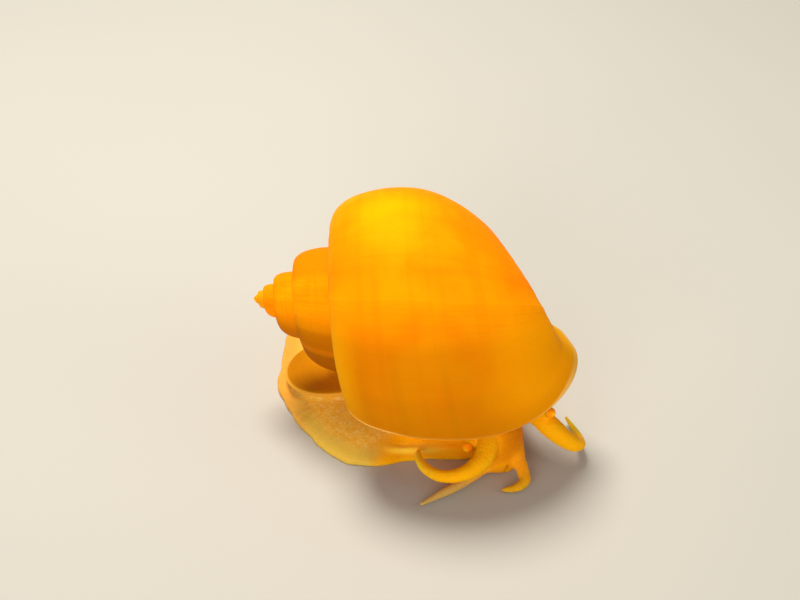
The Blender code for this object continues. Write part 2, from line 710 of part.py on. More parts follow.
def build_eye(side, places, collection, skin, pupil):
    """Short eye stalk and the eyeball set in its end."""
    root, eye = (Vector(p) for p in places)
    along = (eye - root).normalized()
    tip = eye + along * STALK_END
    stations = [(*root.lerp(tip, share), STALK_RADIUS * size) for share, size in STALK_SHAPE]
    stalk = tube(f"eye_stalk_{side}", stations, collection, skin)
    bm = bmesh.new()
    bmesh.ops.create_uvsphere(
        bm, u_segments=EYE_SEGMENTS, v_segments=EYE_RINGS, radius=EYE_RADIUS * MM
    )
    bmesh.ops.translate(bm, verts=bm.verts[:], vec=(eye + along * EYE_FORWARD) * MM)
    ball = new_object(f"eye_{side}", finish_mesh(bm, f"eye_{side}"), collection, pupil)
    boolean(stalk, [grown(ball, EYE_GAP, collection)], "DIFFERENCE")
    return stalk, ball


def build_siphon(collection, material):
    """Left neck lobe, half rolled into a gutter that opens downward."""
    path = smooth_path([(*place, radius) for place, radius in SIPHON_ROUTE], 3)
    lobe = tube("siphon", path, collection, material)
    gutter = [(x, y, z - GUTTER_DROP, radius * GUTTER_SHARE) for x, y, z, radius in path]
    start, end = Vector(gutter[-2][:3]), Vector(gutter[-1][:3])
    beyond = end + (end - start).normalized() * GUTTER_BEYOND
    gutter.append((*beyond, gutter[-1][3]))
    return boolean(lobe, [tube("gutter", gutter[2:], collection, None)], "DIFFERENCE")


def split_foot(foot, collection, material):
    """Parts the foot with a thin cut into the front and the tail."""
    tail = new_object("foot_tail", foot.data.copy(), collection)
    tail.data.name = "foot_tail"
    for obj, side in ((foot, -1), (tail, 1)):
        bm = bmesh.new()
        bmesh.ops.create_cube(bm, size=FOOT_BLOCK)
        middle = FOOT_CUT_X + side * 0.5 * (FOOT_BLOCK - GAP)
        bmesh.ops.translate(bm, verts=bm.verts[:], vec=(middle, 0.0, 0.0))
        boolean(obj, [new_object("half", finish_mesh(bm, "half"), collection)], "DIFFERENCE")
    return tail


def main():
    """Clears the scene and builds the snail."""
    for obj in list(bpy.data.objects):
        bpy.data.objects.remove(obj)
    snail = bpy.data.collections.new("apple_snail")
    bpy.context.scene.collection.children.link(snail)
    finishes = [make_material(name, *look) for name, look in FINISHES.items()]
    horn, plate, cream, orange, yellow, pupil = finishes

    build_shell(snail, horn)
    build_mantle(snail, orange)
    foot = build_foot(snail, cream)
    operculum = build_operculum(snail, plate)
    boolean(foot, [grown(operculum, GAP, snail)], "DIFFERENCE")
    neck = build_trunk(snail, orange)
    boolean(neck, [grown(foot, GAP, snail), build_mantle(snail, None, GAP / MM)], "DIFFERENCE")
    head = build_head(snail, orange)
    boolean(head, [grown(neck, GAP, snail), grown(foot, GAP, snail)], "DIFFERENCE")
    siphon = build_siphon(snail, orange)
    boolean(siphon, [grown(neck, GAP, snail), grown(head, GAP, snail)], "DIFFERENCE")
    sides = (
        ("right", RIGHT_TENTACLE, RIGHT_PALP, RIGHT_EYE),
        ("left", LEFT_TENTACLE, LEFT_PALP, LEFT_EYE),
    )
    for side, route, lip, eye in sides:
        feeler = build_tentacle(side, route, snail, yellow)[0]
        boolean(feeler, [grown(head, GAP, snail), grown(neck, GAP, snail)], "DIFFERENCE")
        palp = build_palp(side, lip, snail, yellow)
        boolean(palp, [grown(head, GAP, snail)], "DIFFERENCE")
        stalk, _ = build_eye(side, eye, snail, yellow, pupil)
        around = [grown(near, GAP, snail) for near in (head, feeler, neck)]
        boolean(stalk, around, "DIFFERENCE")
    split_foot(foot, snail, cream)
    for obj in snail.objects:
        obj.data.set_sharp_from_angle(angle=SHARP_ANGLE)


if __name__ == "__main__":
    main()
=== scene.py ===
"""Looks of a life-size crawling apple snail, shown as a still museum figure.

Lengths inside the classes are in millimetres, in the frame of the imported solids: +Z up, the sole on
z = 0, the snail crawls towards +X and its right side faces -Y. Meshes are scaled to metres when they
are made.
"""

import json
import logging
import math
from dataclasses import dataclass
from enum import Enum

import bmesh
import bpy
import numpy as np
from mathutils import Matrix, Vector

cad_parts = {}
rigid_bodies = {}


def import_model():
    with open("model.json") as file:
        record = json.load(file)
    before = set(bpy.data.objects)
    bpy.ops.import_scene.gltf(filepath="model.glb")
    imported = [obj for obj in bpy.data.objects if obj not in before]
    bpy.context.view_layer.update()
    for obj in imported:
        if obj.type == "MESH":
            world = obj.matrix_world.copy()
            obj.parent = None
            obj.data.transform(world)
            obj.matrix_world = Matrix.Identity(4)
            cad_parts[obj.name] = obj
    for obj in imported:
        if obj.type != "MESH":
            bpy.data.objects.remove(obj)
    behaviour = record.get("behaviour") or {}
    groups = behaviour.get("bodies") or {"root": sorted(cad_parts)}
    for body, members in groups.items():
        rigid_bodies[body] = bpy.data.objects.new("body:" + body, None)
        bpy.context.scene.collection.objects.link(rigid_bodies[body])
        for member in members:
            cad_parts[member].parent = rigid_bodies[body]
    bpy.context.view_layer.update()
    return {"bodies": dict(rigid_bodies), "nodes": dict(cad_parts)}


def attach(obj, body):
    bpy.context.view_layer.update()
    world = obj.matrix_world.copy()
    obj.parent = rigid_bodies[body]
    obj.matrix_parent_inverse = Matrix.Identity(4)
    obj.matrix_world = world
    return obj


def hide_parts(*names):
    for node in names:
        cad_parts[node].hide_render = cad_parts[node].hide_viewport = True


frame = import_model()

MM = 0.001
TURN = 2.0 * math.pi
FAR = 50.0
TINY = 1e-12
SMALL = 1e-9
NOISE_AXES = (73856093, 19349663, 83492791)
NOISE_SEED = 2654435761
NOISE_SPREAD = 1274126177
NOISE_HALF = 32767.5
SEED_SHIFT = 17.31
MIX_INPUTS = (6, 7)
MIX_OUTPUT = 2
log = logging.getLogger("snail")

Array = np.ndarray
Numbers = np.ndarray | float
Piece = bpy.types.Object
Material = bpy.types.Material
Socket = bpy.types.NodeSocket
Pair = tuple[float, float]
Colour = tuple[float, float, float]
Point = tuple[float, float, float]
Station = tuple[Point, float]


def smooth_rows(points: Array, steps: int) -> Array:
    """Draws a Catmull-Rom curve through rows of numbers.

    Args:
        points: Control rows, one per line.
        steps: Steps to each span.

    Returns:
        The rows of the curve, both ends included.
    """
    ends = np.vstack([points[:1], points, points[-1:]])
    t = np.arange(steps) / steps
    weights = np.stack(
        [
            -0.5 * t + t**2 - 0.5 * t**3,
            1 - 2.5 * t**2 + 1.5 * t**3,
            0.5 * t + 2 * t**2 - 1.5 * t**3,
            -0.5 * t**2 + 0.5 * t**3,
        ],
        axis=1,
    )
    spans = np.stack([ends[:-3], ends[1:-2], ends[2:-1], ends[3:]], axis=1)
    curve = np.einsum("sk,nkd->nsd", weights, spans).reshape(-1, points.shape[1])
    return np.vstack([curve, points[-1:]])


def smooth_ring(points: Array, steps: int) -> Array:
    """A closed Catmull-Rom curve through control rows, the first row not repeated."""
    wrapped = np.vstack([points[-2:], points, points[:3]])
    return smooth_rows(wrapped, steps)[2 * steps : (len(points) + 2) * steps]


def ease(x: Array) -> Array:
    """Goes smoothly from 0 to 1 as x does, and stays there."""
    x = np.clip(x, 0.0, 1.0)
    return x * x * (3 - 2 * x)


def smooth_min(a: Array, b: Array, reach: Numbers) -> Array:
    """The lesser of two distances, with a fillet of this reach where they cross."""
    near = np.maximum(reach - np.abs(a - b), 0.0)
    return np.minimum(a, b) - near * near * 0.25 / reach


def smooth_max(a: Array, b: Array, reach: Numbers) -> Array:
    """The greater of two distances, with a rounded edge of this reach where they cross."""
    return -smooth_min(-a, -b, reach)


def value_noise(points: Array, size: float, seed: int) -> Array:
    """Smooth noise in space.

    Args:
        points: Places, one per line.
        size: Width of one bump.
        seed: Number that picks the pattern.

    Returns:
        A value from -1 to 1 for each place.
    """
    scaled = points / size + seed * SEED_SHIFT
    cell = np.floor(scaled).astype(np.int64)
    part = ease(scaled - cell)
    total = np.zeros(len(points))
    for corner in range(8):
        shift = np.array([corner & 1, corner >> 1 & 1, corner >> 2 & 1])
        key = (cell + shift) @ np.array(NOISE_AXES) + seed * NOISE_SEED
        key = (key ^ (key >> 13)) * NOISE_SPREAD
        value = ((key ^ (key >> 16)) & 0xFFFF) / NOISE_HALF - 1.0
        total += value * np.prod(np.where(shift == 1, part, 1 - part), axis=1)
    return total


def polygon_distance(points: Array, loop: Array) -> Array:
    """Signed distance to a closed outline in a plane.

    Args:
        points: Places (n, 2).
        loop: Corners (m, 2) of the outline, in order.

    Returns:
        Distances, below zero inside.
    """
    nearest = np.full(len(points), np.inf)
    inside = np.zeros(len(points), bool)
    for start, end in zip(loop, np.roll(loop, -1, axis=0)):
        edge = end - start
        offset = points - start
        t = np.clip(offset @ edge / max(edge @ edge, TINY), 0.0, 1.0)
        gap = offset - t[:, None] * edge
        nearest = np.minimum(nearest, np.einsum("nd,nd->n", gap, gap))
        crosses = (start[1] > points[:, 1]) != (end[1] > points[:, 1])
        rise = edge[1] if abs(edge[1]) > TINY else TINY
        inside ^= crosses & (points[:, 0] < edge[0] * (points[:, 1] - start[1]) / rise + start[0])
    return np.sqrt(nearest) * np.where(inside, -1.0, 1.0)


class OutlineTable:
    """Signed distance to an outline, kept on a fine square net for quick reading."""

    end_room: float = 1.001

    def __init__(self, loop: Array, margin: float, step: float) -> None:
        """Fills the net.

        Args:
            loop: Corners of the outline.
            margin: Room kept round it.
            step: Spacing of the net.
        """
        self.low = loop.min(axis=0) - margin
        self.step = step
        size = np.ceil((loop.max(axis=0) + margin - self.low) / step).astype(int) + 2
        u, v = np.meshgrid(np.arange(size[0]), np.arange(size[1]), indexing="ij")
        places = np.stack([u.ravel(), v.ravel()], axis=1) * step + self.low
        self.values = polygon_distance(places, loop).reshape(size)

    def read(self, u: Array, v: Array) -> Array:
        """Reads the distance between the net's knots.

        Args:
            u: First coordinates.
            v: Second coordinates.

        Returns:
            Signed distances.
        """
        size = np.array(self.values.shape)
        a = np.clip((u - self.low[0]) / self.step, 0, size[0] - self.end_room)
        b = np.clip((v - self.low[1]) / self.step, 0, size[1] - self.end_room)
        i, j = a.astype(int), b.astype(int)
        a, b = a - i, b - j
        net = self.values
        front = net[i, j] * (1 - b) + net[i, j + 1] * b
        back = net[i + 1, j] * (1 - b) + net[i + 1, j + 1] * b
        return front * (1 - a) + back * a


def add_object(name: str, data: bpy.types.ID) -> Piece:
    """Puts an object in the scene.

    Args:
        name: Its name.
        data: Its mesh, lamp or camera.

    Returns:
        The object.
    """
    obj = bpy.data.objects.new(name, data)
    bpy.context.scene.collection.objects.link(obj)
    return obj


def make_object(name: str, points: Array, faces: list, material: Material) -> Piece:
    """Makes a smooth mesh object from places in millimetres.

    Args:
        name: Name of the piece.
        points: Places, one per line.
        faces: Corner numbers of each face.
        material: Its finish.

    Returns:
        The object, linked to the scene.
    """
    mesh = bpy.data.meshes.new(name)
    mesh.from_pydata((points * MM).tolist(), [], faces)
    mesh.validate()
    mesh.shade_smooth()
    mesh.materials.append(material)
    return add_object(name, mesh)


def set_values(obj: Piece, name: str, values: Array) -> None:
    """Stores one number on each vertex, under the name that the finish reads."""
    attribute = obj.data.attributes.new(name, "FLOAT", "POINT")
    attribute.data.foreach_set("value", np.asarray(values, np.float32))


def face_out(obj: Piece, gap: float = 0.004) -> None:
    """Turns every face outward and joins doubled vertices.

    Args:
        obj: The piece.
        gap: Vertices this near are one, in millimetres.
    """
    bm = bmesh.new()
    bm.from_mesh(obj.data)
    bmesh.ops.remove_doubles(bm, verts=bm.verts[:], dist=gap * MM)
    bmesh.ops.recalc_face_normals(bm, faces=bm.faces[:])
    bm.to_mesh(obj.data)
    bm.free()


def grid_quads(ids: Array, closed: bool) -> list:
    """Quads between the rows of a table of vertex numbers.

    Args:
        ids: Vertex numbers, one row of the surface per line.
        closed: True if each row runs back to its start.

    Returns:
        Corner lists, without corners that coincide.
    """
    if closed:
        ids = np.hstack([ids, ids[:, :1]])
    corners = np.stack([ids[:-1, :-1], ids[:-1, 1:], ids[1:, 1:], ids[1:, :-1]], axis=-1).reshape(-1, 4)
    return [list(dict.fromkeys(quad)) for quad in corners.tolist() if len(set(quad)) > 2]


class Reading(Enum):
    """Numbers that the colours follow, stored on the meshes or worked out by a finish."""

    GROWTH = "growth"
    GIRTH = "girth"
    LIP = "lip"
    INNER = "inner"
    LINE = "line"
    BROAD = "broad"
    FINE = "fine"
    BANDS = "bands"
    RING = "ring"
    FORWARD = "forward"
    POLAR = "polar"
    FOOT = "foot"
    FEELER = "feeler"
    PALP = "palp"
    MANTLE = "mantle"
    MARGIN = "margin"
    TIP = "tip"
    APRON = "apron"
    RIDGE = "ridge"
    GHOST = "ghost"
    FACE = "face"
    LIPS = "lips"
    MOSS = "moss"
    MOTTLE = "mottle"
    PATCHES = "patches"


@dataclass(frozen=True)
class Fade:
    """Share that changes smoothly along a reading, or along its distance from a middle."""

    reading: Reading
    start: float
    end: float
    first: float = 0.0
    last: float = 1.0
    middle: float | None = None


@dataclass(frozen=True)
class Tint:
    """Colour that is laid over the others as far as all its fades let it through."""

    name: str
    colour: Colour
    fades: tuple[Fade, ...]


@dataclass(frozen=True)
class Grain:
    """Fine unevenness of a surface: size of its bumps, their detail, warp and depth."""

    size: float
    detail: float
    warp: float
    depth: float


class NodeBench:
    """Lays out the nodes of one material."""

    def __init__(self, name: str) -> None:
        """Starts a material with one Principled shader.

        Args:
            name: Name of the material.
        """
        self.material = bpy.data.materials.new(name)
        self.material.use_nodes = True
        self.tree = self.material.node_tree
        self.shader = self.tree.nodes["Principled BSDF"]
        self.readings: dict[Reading, Socket] = {}

    def node(self, kind: str, inputs: dict, **settings: object) -> bpy.types.Node:
        """Adds a node.

        Args:
            kind: Node type.
            inputs: Socket name or number, and what it takes: a socket to link or a value.
            **settings: The node's own settings.

        Returns:
            The node.
        """
        made = self.tree.nodes.new(kind)
        for name, value in settings.items():
            setattr(made, name, value)
        for key, value in inputs.items():
            self.feed(made.inputs[key], value)
        return made

    def feed(self, socket: Socket, value: object) -> None:
        """Links a socket, or sets its value.

        Args:
            socket: The input.
            value: A socket to link, or a value.
        """
        if isinstance(value, bpy.types.NodeSocket):
            self.tree.links.new(value, socket)
        else:
            socket.default_value = value

    def surface(self, **inputs: object) -> None:
        """Feeds the shader's sockets, named with underscores for spaces."""
        for key, value in inputs.items():
            self.feed(self.shader.inputs[key.replace("_", " ")], value)

    def places(self) -> Socket:
        """The place on the piece, in millimetres."""
        spot = self.node("ShaderNodeTexCoord", {}).outputs["Object"]
        return self.node("ShaderNodeVectorMath", {0: spot, "Scale": 1.0 / MM}, operation="SCALE").outputs[0]

    def across(self, place: Socket) -> Socket:
        """How far forward a place lies, in millimetres."""
        return self.node("ShaderNodeSeparateXYZ", {0: place}).outputs["X"]

    def noise(self, place: object, size: float, detail: float = 3.0, warp: float = 0.0) -> Socket:
        """Noise from 0 to 1 with bumps about this wide, in millimetres."""
        inputs = {"Vector": place, "Scale": 1.0 / size, "Detail": detail, "Distortion": warp}
        return self.node("ShaderNodeTexNoise", inputs).outputs["Fac"]

    def streaks(self, along: object, size: float, detail: float = 3.0) -> Socket:
        """Noise from 0 to 1 that changes with one number only."""
        inputs = {"W": along, "Scale": 1.0 / size, "Detail": detail}
        return self.node("ShaderNodeTexNoise", inputs, noise_dimensions="1D").outputs["Fac"]

    def cells(self, place: object, pace: float, randomness: float, **settings: object) -> Socket:
        """Distance in a net of rounded cells, so many to the millimetre."""
        inputs = {"Vector": place, "Scale": pace, "Randomness": randomness}
        return self.node("ShaderNodeTexVoronoi", inputs, **settings).outputs["Distance"]

    def math(self, kind: str, a: object, b: object = 0.0) -> Socket:
        """Arithmetic on two numbers."""
        return self.node("ShaderNodeMath", {0: a, 1: b}, operation=kind).outputs[0]

    def range(self, value: object, low: float, high: float, first: float = 0.0, last: float = 1.0) -> Socket:
        """A number moved smoothly from one range to another and held at its ends."""
        inputs = {"Value": value, "From Min": low, "From Max": high, "To Min": first, "To Max": last}
        return self.node("ShaderNodeMapRange", inputs, interpolation_type="SMOOTHSTEP").outputs["Result"]

    def mix(self, share: object, under: object, over: object) -> Socket:
        """Mixes two colours.

        Args:
            share: Share of the second colour.
            under: First colour, or a socket.
            over: Second colour, or a socket.

        Returns:
            The mixed colour.
        """
        made = self.node("ShaderNodeMix", {"Factor": share}, data_type="RGBA")
        for number, value in zip(MIX_INPUTS, (under, over)):
            self.feed(made.inputs[number], (*value, 1.0) if isinstance(value, tuple) else value)
        return made.outputs[MIX_OUTPUT]

    def bump(self, height: object, depth: float, normal: object = None) -> Socket:
        """Bump from a height that goes from 0 to 1.

        Args:
            height: The height.
            depth: What 1 stands for, in millimetres.
            normal: Normal of the bumps below it, if any.

        Returns:
            The normal.
        """
        made = self.node("ShaderNodeBump", {"Height": height, "Distance": depth * MM})
        if normal is not None:
            self.feed(made.inputs["Normal"], normal)
        return made.outputs[0]

    def roughen(self, place: Socket, grains: tuple[Grain, ...], normal: object) -> Socket:
        """Lays fine grains over a normal.

        Args:
            place: The place on the piece.
            grains: The grains, coarse to fine.
            normal: Normal of the bumps below them.

        Returns:
            The normal.
        """
        for grain in grains:
            noise = self.noise(place, grain.size, grain.detail, grain.warp)
            normal = self.bump(noise, grain.depth, normal)
        return normal

    def read(self, reading: Reading) -> Socket:
        """The number of a reading. One that the finish hasn't worked out is stored on the mesh.

        Args:
            reading: The reading.

        Returns:
            The number.
        """
        if reading not in self.readings:
            stored = self.node("ShaderNodeAttribute", {}, attribute_name=reading.value)
            self.readings[reading] = stored.outputs["Fac"]
        return self.readings[reading]

    def share(self, *fades: Fade) -> Socket:
        """What all of some fades let through.

        Args:
            *fades: The fades.

        Returns:
            The product of their shares.
        """
        total = None
        for fade in fades:
            value = self.read(fade.reading)
            if fade.middle is not None:
                value = self.math("ABSOLUTE", self.math("SUBTRACT", value, fade.middle))
            part = self.range(value, fade.start, fade.end, fade.first, fade.last)
            total = part if total is None else self.math("MULTIPLY", total, part)
        return total

    def lay(self, tone: object, tints: list[Tint]) -> Socket:
        """Lays tints over a colour, first to last, each on a node with its name.

        Args:
            tone: The colour below them.
            tints: The tints.

        Returns:
            The colour.
        """
        for tint in tints:
            tone = self.mix(self.share(*tint.fades), tone, tint.colour)
            tone.node.label = tint.name
        return tone


@dataclass(frozen=True)
class ShellFinish:
    """Golden horn with growth lines, faint spiral bands, rest marks and a pale lip, with a painted highlight
    on the top of the body whorl and painted shade on its lower and far sides and on the spire.
    """

    gold: Colour = (0.93, 0.24, 0.001)
    honey: Colour = (0.95, 0.3, 0.001)
    rust: Colour = (0.84, 0.19, 0.001)
    brown: Colour = (0.38, 0.105, 0.001)
    amber: Colour = (0.44, 0.15, 0.001)
    olive: Colour = (0.93, 0.35, 0.001)
    straw: Colour = (0.93, 0.44, 0.001)
    shade: Colour = (0.62, 0.25, 0.001)
    # Colour of the painted highlight on the top of the body whorl.
    crown_highlight: Colour = (1.0, 0.43, 0.001)
    umber: Colour = (0.32, 0.085, 0.001)
    lip: Colour = (0.88, 0.5, 0.11)
    lip_shade: Colour = (0.62, 0.34, 0.06)
    apex: Colour = (0.86, 0.34, 0.006)
    inside: Colour = (0.85, 0.34, 0.03)
    gloss: Colour = (1.0, 0.78, 0.1)
    cloud_size: float = 7.0
    clouds: Pair = (0.35, 0.7)
    wander_size: float = 9.0
    wander: float = 0.012
    broad_size: float = 0.06
    fine_size: float = 0.009
    band_size: float = 0.05
    marks: tuple = (-0.164, -0.12, -0.056)
    mark_width: float = 0.009
    stripes: tuple = ((0.31, 0.02), (0.417, 0.022), (0.56, 0.018))
    stripe_core: float = 0.3
    rim_width: Fade = Fade(Reading.GIRTH, 0.765, 0.88, 0.3, 2.3)
    rim_edge: tuple = (0.55, 1.2, 0.85, 0.0)
    rim_faint: tuple = (Fade(Reading.GIRTH, 0.34, 0.44), Fade(Reading.GIRTH, 0.72, 0.79, 0.82, 0.0))
    rim_shaded: Fade = Fade(Reading.GIRTH, 0.84, 0.92)
    apex_part: Fade = Fade(Reading.GROWTH, -4.2, -3.0, 0.8, 0.0)
    broad_depth: float = 0.1
    fine_depth: float = 0.06
    grains: tuple = (Grain(1.1, 1.0, 0.8, 0.02), Grain(0.22, 2.0, 0.0, 0.01))
    sheen_size: float = 2.5
    roughness: tuple = (0.3, 0.75, 0.4, 0.52)
    depth_of_light: float = 1.6

    def growth_tints(self) -> list[Tint]:
        """Growth bands and lines, spiral bands, and the marks where the lip once rested.

        Returns:
            The tints, first to last.
        """
        tints = [
            Tint("broad growth bands", self.rust, (Fade(Reading.BROAD, 0.5, 0.72, 0.0, 0.2),)),
            Tint("fine growth lines", self.rust, (Fade(Reading.FINE, 0.55, 0.75, 0.0, 0.06),)),
            Tint("spiral bands", self.rust, (Fade(Reading.BANDS, 0.5, 0.66, 0.0, 0.22),)),
        ]
        below = Fade(Reading.GIRTH, 0.85, 0.6, 0.25, 1.0)
        for at in self.marks:
            step = Fade(Reading.LINE, at - self.mark_width, at + self.mark_width, 0.0, 0.2)
            tints.append(Tint("rest mark", self.amber, (step, below)))
        return tints

    def spire_tints(self) -> list[Tint]:
        """Whorls behind the body whorl, browner towards its edge: the second whorl's brown is partly an old
        rest mark and partly painted shade, and the third whorl's brown and the darkest brown are painted
        shade.

        Returns:
            The tints, first to last.
        """
        line, growth = Reading.LINE, Reading.GROWTH
        second = Fade(growth, -0.92, -0.86, 0.85, 0.0)
        gilt = (Fade(line, -1.18, -1.12), Fade(growth, -0.92, -0.86, 0.5, 0.0))
        third = (Fade(line, -2.12, -1.99), Fade(growth, -1.94, -1.88, 0.8, 0.0))
        back = (Fade(line, -1.205, -1.25, 0.0, 0.85), Fade(line, -1.9, -1.6))
        return [
            Tint("gilt before the brown", self.olive, gilt),
            # Partly an old rest mark, partly painted shade cast by the body whorl.
            Tint("second whorl's brown", self.brown, (Fade(line, -1.15, -1.03), second)),
            Tint("step in the brown", self.brown, (Fade(line, -1.089, -1.072, 0.0, 0.5), second)),
            # Painted shade at the lower edge of the third whorl, near the suture.
            Tint("third whorl's brown", self.brown, third),
            Tint("pale rest mark", self.gold, (Fade(line, 0.0028, 0.014, 0.16, 0.0, middle=-1.02),)),
            # Painted shade: darkest brown where the second whorl turns under the body whorl.
            Tint("darkest brown", self.umber, (Fade(line, -1.012, -0.998), second)),
            Tint("warm back of the second whorl", self.rust, back),
        ]

    def body_tints(self) -> list[Tint]:
        """Body whorl: a painted highlight on its top, painted shade on its far and lower sides and under its
        right end, its seam, and painted shade on the stretch behind the lip.

        Returns:
            The tints, first to last.
        """
        line, growth, girth = Reading.LINE, Reading.GROWTH, Reading.GIRTH
        front = Fade(girth, 0.95, 0.8)
        low = Fade(line, -0.17, -0.03)
        # Painted shade: the far side of the body whorl is made redder and darker.
        far = (Fade(line, -0.3, -0.15, 0.55, 0.0), Fade(girth, 0.55, 0.8))
        # Painted highlight: a lighter, yellower patch on the top of the body whorl.
        crown_highlight = (
            Fade(growth, 0.015, 0.085, 0.5, 0.0, middle=-0.28),
            Fade(girth, 0.02, 0.14, 1.0, 0.0, middle=0.425),
        )
        tints = [
            Tint("warm far side", self.rust, far),
            # Painted shade: darker lower side of the body whorl, towards the lip.
            Tint("shaded lower side", self.amber, (Fade(line, -0.17, -0.03, 0.0, 0.42), front)),
            Tint("bright crown", self.crown_highlight, crown_highlight),
        ]
        for at, width in self.stripes:
            band = Fade(girth, self.stripe_core * width, width, 0.22, 0.0, middle=at)
            tints.append(Tint("faint stripe", self.amber, (band, low, front)))
        seam = (Fade(girth, 0.2, 0.33, 0.5, 0.0), Fade(line, -0.2, -0.08))
        right = (Fade(girth, 0.6, 0.8), Fade(line, -0.22, -0.12, 0.0, 0.7))
        under = (Fade(girth, 0.86, 0.92), Fade(line, -0.3, -0.1, 0.0, 0.85))
        return [
            *tints,
            Tint("rust along the suture", self.rust, (Fade(girth, 0.0, 0.05, 0.4, 0.0),)),
            Tint("straw beside the suture", self.straw, seam),
            Tint("olive right end", self.olive, right),
            Tint("shade under the right end", self.shade, under),
            # Painted shade: darker stretch of the body whorl just behind the lip.
            Tint("stretch behind the lip", self.amber, (Fade(Reading.LIP, 1.0, 6.5, 0.3, 0.0), front)),
        ]

    def rim(self, bench: NodeBench, tone: Socket) -> Socket:
        """Lays the pale rim on the lip, wide at its right end and faint along the bottom.

        Args:
            bench: The material's nodes.
            tone: Colour of the shell.

        Returns:
            The colour with the rim.
        """
        from_lip = bench.math("DIVIDE", bench.read(Reading.LIP), bench.share(self.rim_width))
        edge = bench.range(from_lip, *self.rim_edge)
        clear = bench.math("SUBTRACT", 1.0, bench.share(*self.rim_faint))
        colour = bench.mix(bench.share(self.rim_shaded), self.lip, self.lip_shade)
        return bench.mix(bench.math("MULTIPLY", edge, clear), tone, colour)

    def build(self) -> Material:
        """Builds the material.

        Returns:
            The material.
        """
        bench = NodeBench("shell_gold")
        place = bench.places()
        swing = bench.math("SUBTRACT", bench.noise(place, self.wander_size, detail=2.0), 0.5)
        swing = bench.math("MULTIPLY", swing, self.wander)
        line = bench.math("ADD", bench.read(Reading.GROWTH), swing)
        broad = bench.streaks(line, self.broad_size)
        fine = bench.streaks(line, self.fine_size, detail=4.0)
        bands = bench.streaks(bench.read(Reading.GIRTH), self.band_size, detail=1.0)
        bench.readings.update(
            {Reading.LINE: line, Reading.BROAD: broad, Reading.FINE: fine, Reading.BANDS: bands}
        )
        clouds = bench.range(bench.noise(place, self.cloud_size, warp=0.4), *self.clouds)
        tone = bench.mix(clouds, self.gold, self.honey)
        tone = bench.lay(tone, self.growth_tints() + self.spire_tints() + self.body_tints())
        tone = self.rim(bench, tone)
        tone = bench.mix(bench.share(self.apex_part), tone, self.apex)
        tone = bench.mix(bench.read(Reading.INNER), tone, self.inside)
        normal = bench.bump(broad, self.broad_depth, bench.bump(fine, self.fine_depth))
        bench.surface(
            Base_Color=tone,
            Roughness=bench.range(bench.noise(place, self.sheen_size), *self.roughness),
            Normal=bench.roughen(place, self.grains, normal),
            Subsurface_Weight=0.15,
            Subsurface_Radius=(1.0, 0.35, 0.05),
            Subsurface_Scale=self.depth_of_light * MM,
            Specular_Tint=(*self.gloss, 1.0),
            IOR=1.04,
        )
        return bench.material


@dataclass(frozen=True)
class OperculumFinish:
    """Amber horn with soft concentric growth rings and a thin pale rim, darker towards its outer end as
    painted shade.
    """

    amber: Colour = (0.6, 0.225, 0.0015)
    dark: Colour = (0.42, 0.14, 0.001)
    light: Colour = (0.66, 0.26, 0.002)
    # Colour of the painted shade at the plate's outer end.
    outer: Colour = (0.38, 0.135, 0.001)
    rim: Colour = (0.75, 0.36, 0.04)
    gloss: Colour = (1.0, 0.75, 0.2)
    cloud_size: float = 4.0
    clouds: Pair = (0.35, 0.7)
    wander_size: float = 3.0
    wander: float = 0.05
    line_size: float = 0.05
    line_depth: float = 0.03
    roughness: tuple = (0.3, 0.7, 0.42, 0.56)
    depth_of_light: float = 0.8

    def tints(self) -> list[Tint]:
        """The outer end darkened as painted shade, the growth lines and the pale rim.

        Returns:
            The tints, first to last.
        """
        return [
            # Painted shade: the plate is darker towards its outer end.
            Tint("outer end", self.outer, (Fade(Reading.FORWARD, -15.5, -8.5, 0.9, 0.0),)),
            Tint("growth lines", self.dark, (Fade(Reading.LINE, 0.45, 0.68, 0.0, 0.22),)),
            Tint("pale rim", self.rim, (Fade(Reading.RING, 0.95, 0.985, 0.0, 0.8),)),
        ]

    def build(self) -> Material:
        """Builds the material.

        Returns:
            The material.
        """
        bench = NodeBench("operculum_amber")
        place = bench.places()
        wander = bench.math("MULTIPLY", bench.noise(place, self.wander_size, detail=2.0), self.wander)
        along = bench.math("ADD", bench.read(Reading.RING), wander)
        growth = bench.streaks(along, self.line_size, detail=4.0)
        bench.readings.update({Reading.LINE: growth, Reading.FORWARD: bench.across(place)})
        clouds = bench.range(bench.noise(place, self.cloud_size), *self.clouds)
        bench.surface(
            Base_Color=bench.lay(bench.mix(clouds, self.amber, self.light), self.tints()),
            Roughness=bench.range(growth, *self.roughness),
            Normal=bench.bump(growth, self.line_depth),
            Subsurface_Weight=0.1,
            Subsurface_Radius=(1.0, 0.5, 0.2),
            Subsurface_Scale=self.depth_of_light * MM,
            Specular_Tint=(*self.gloss, 1.0),
            IOR=1.1,
        )
        return bench.material


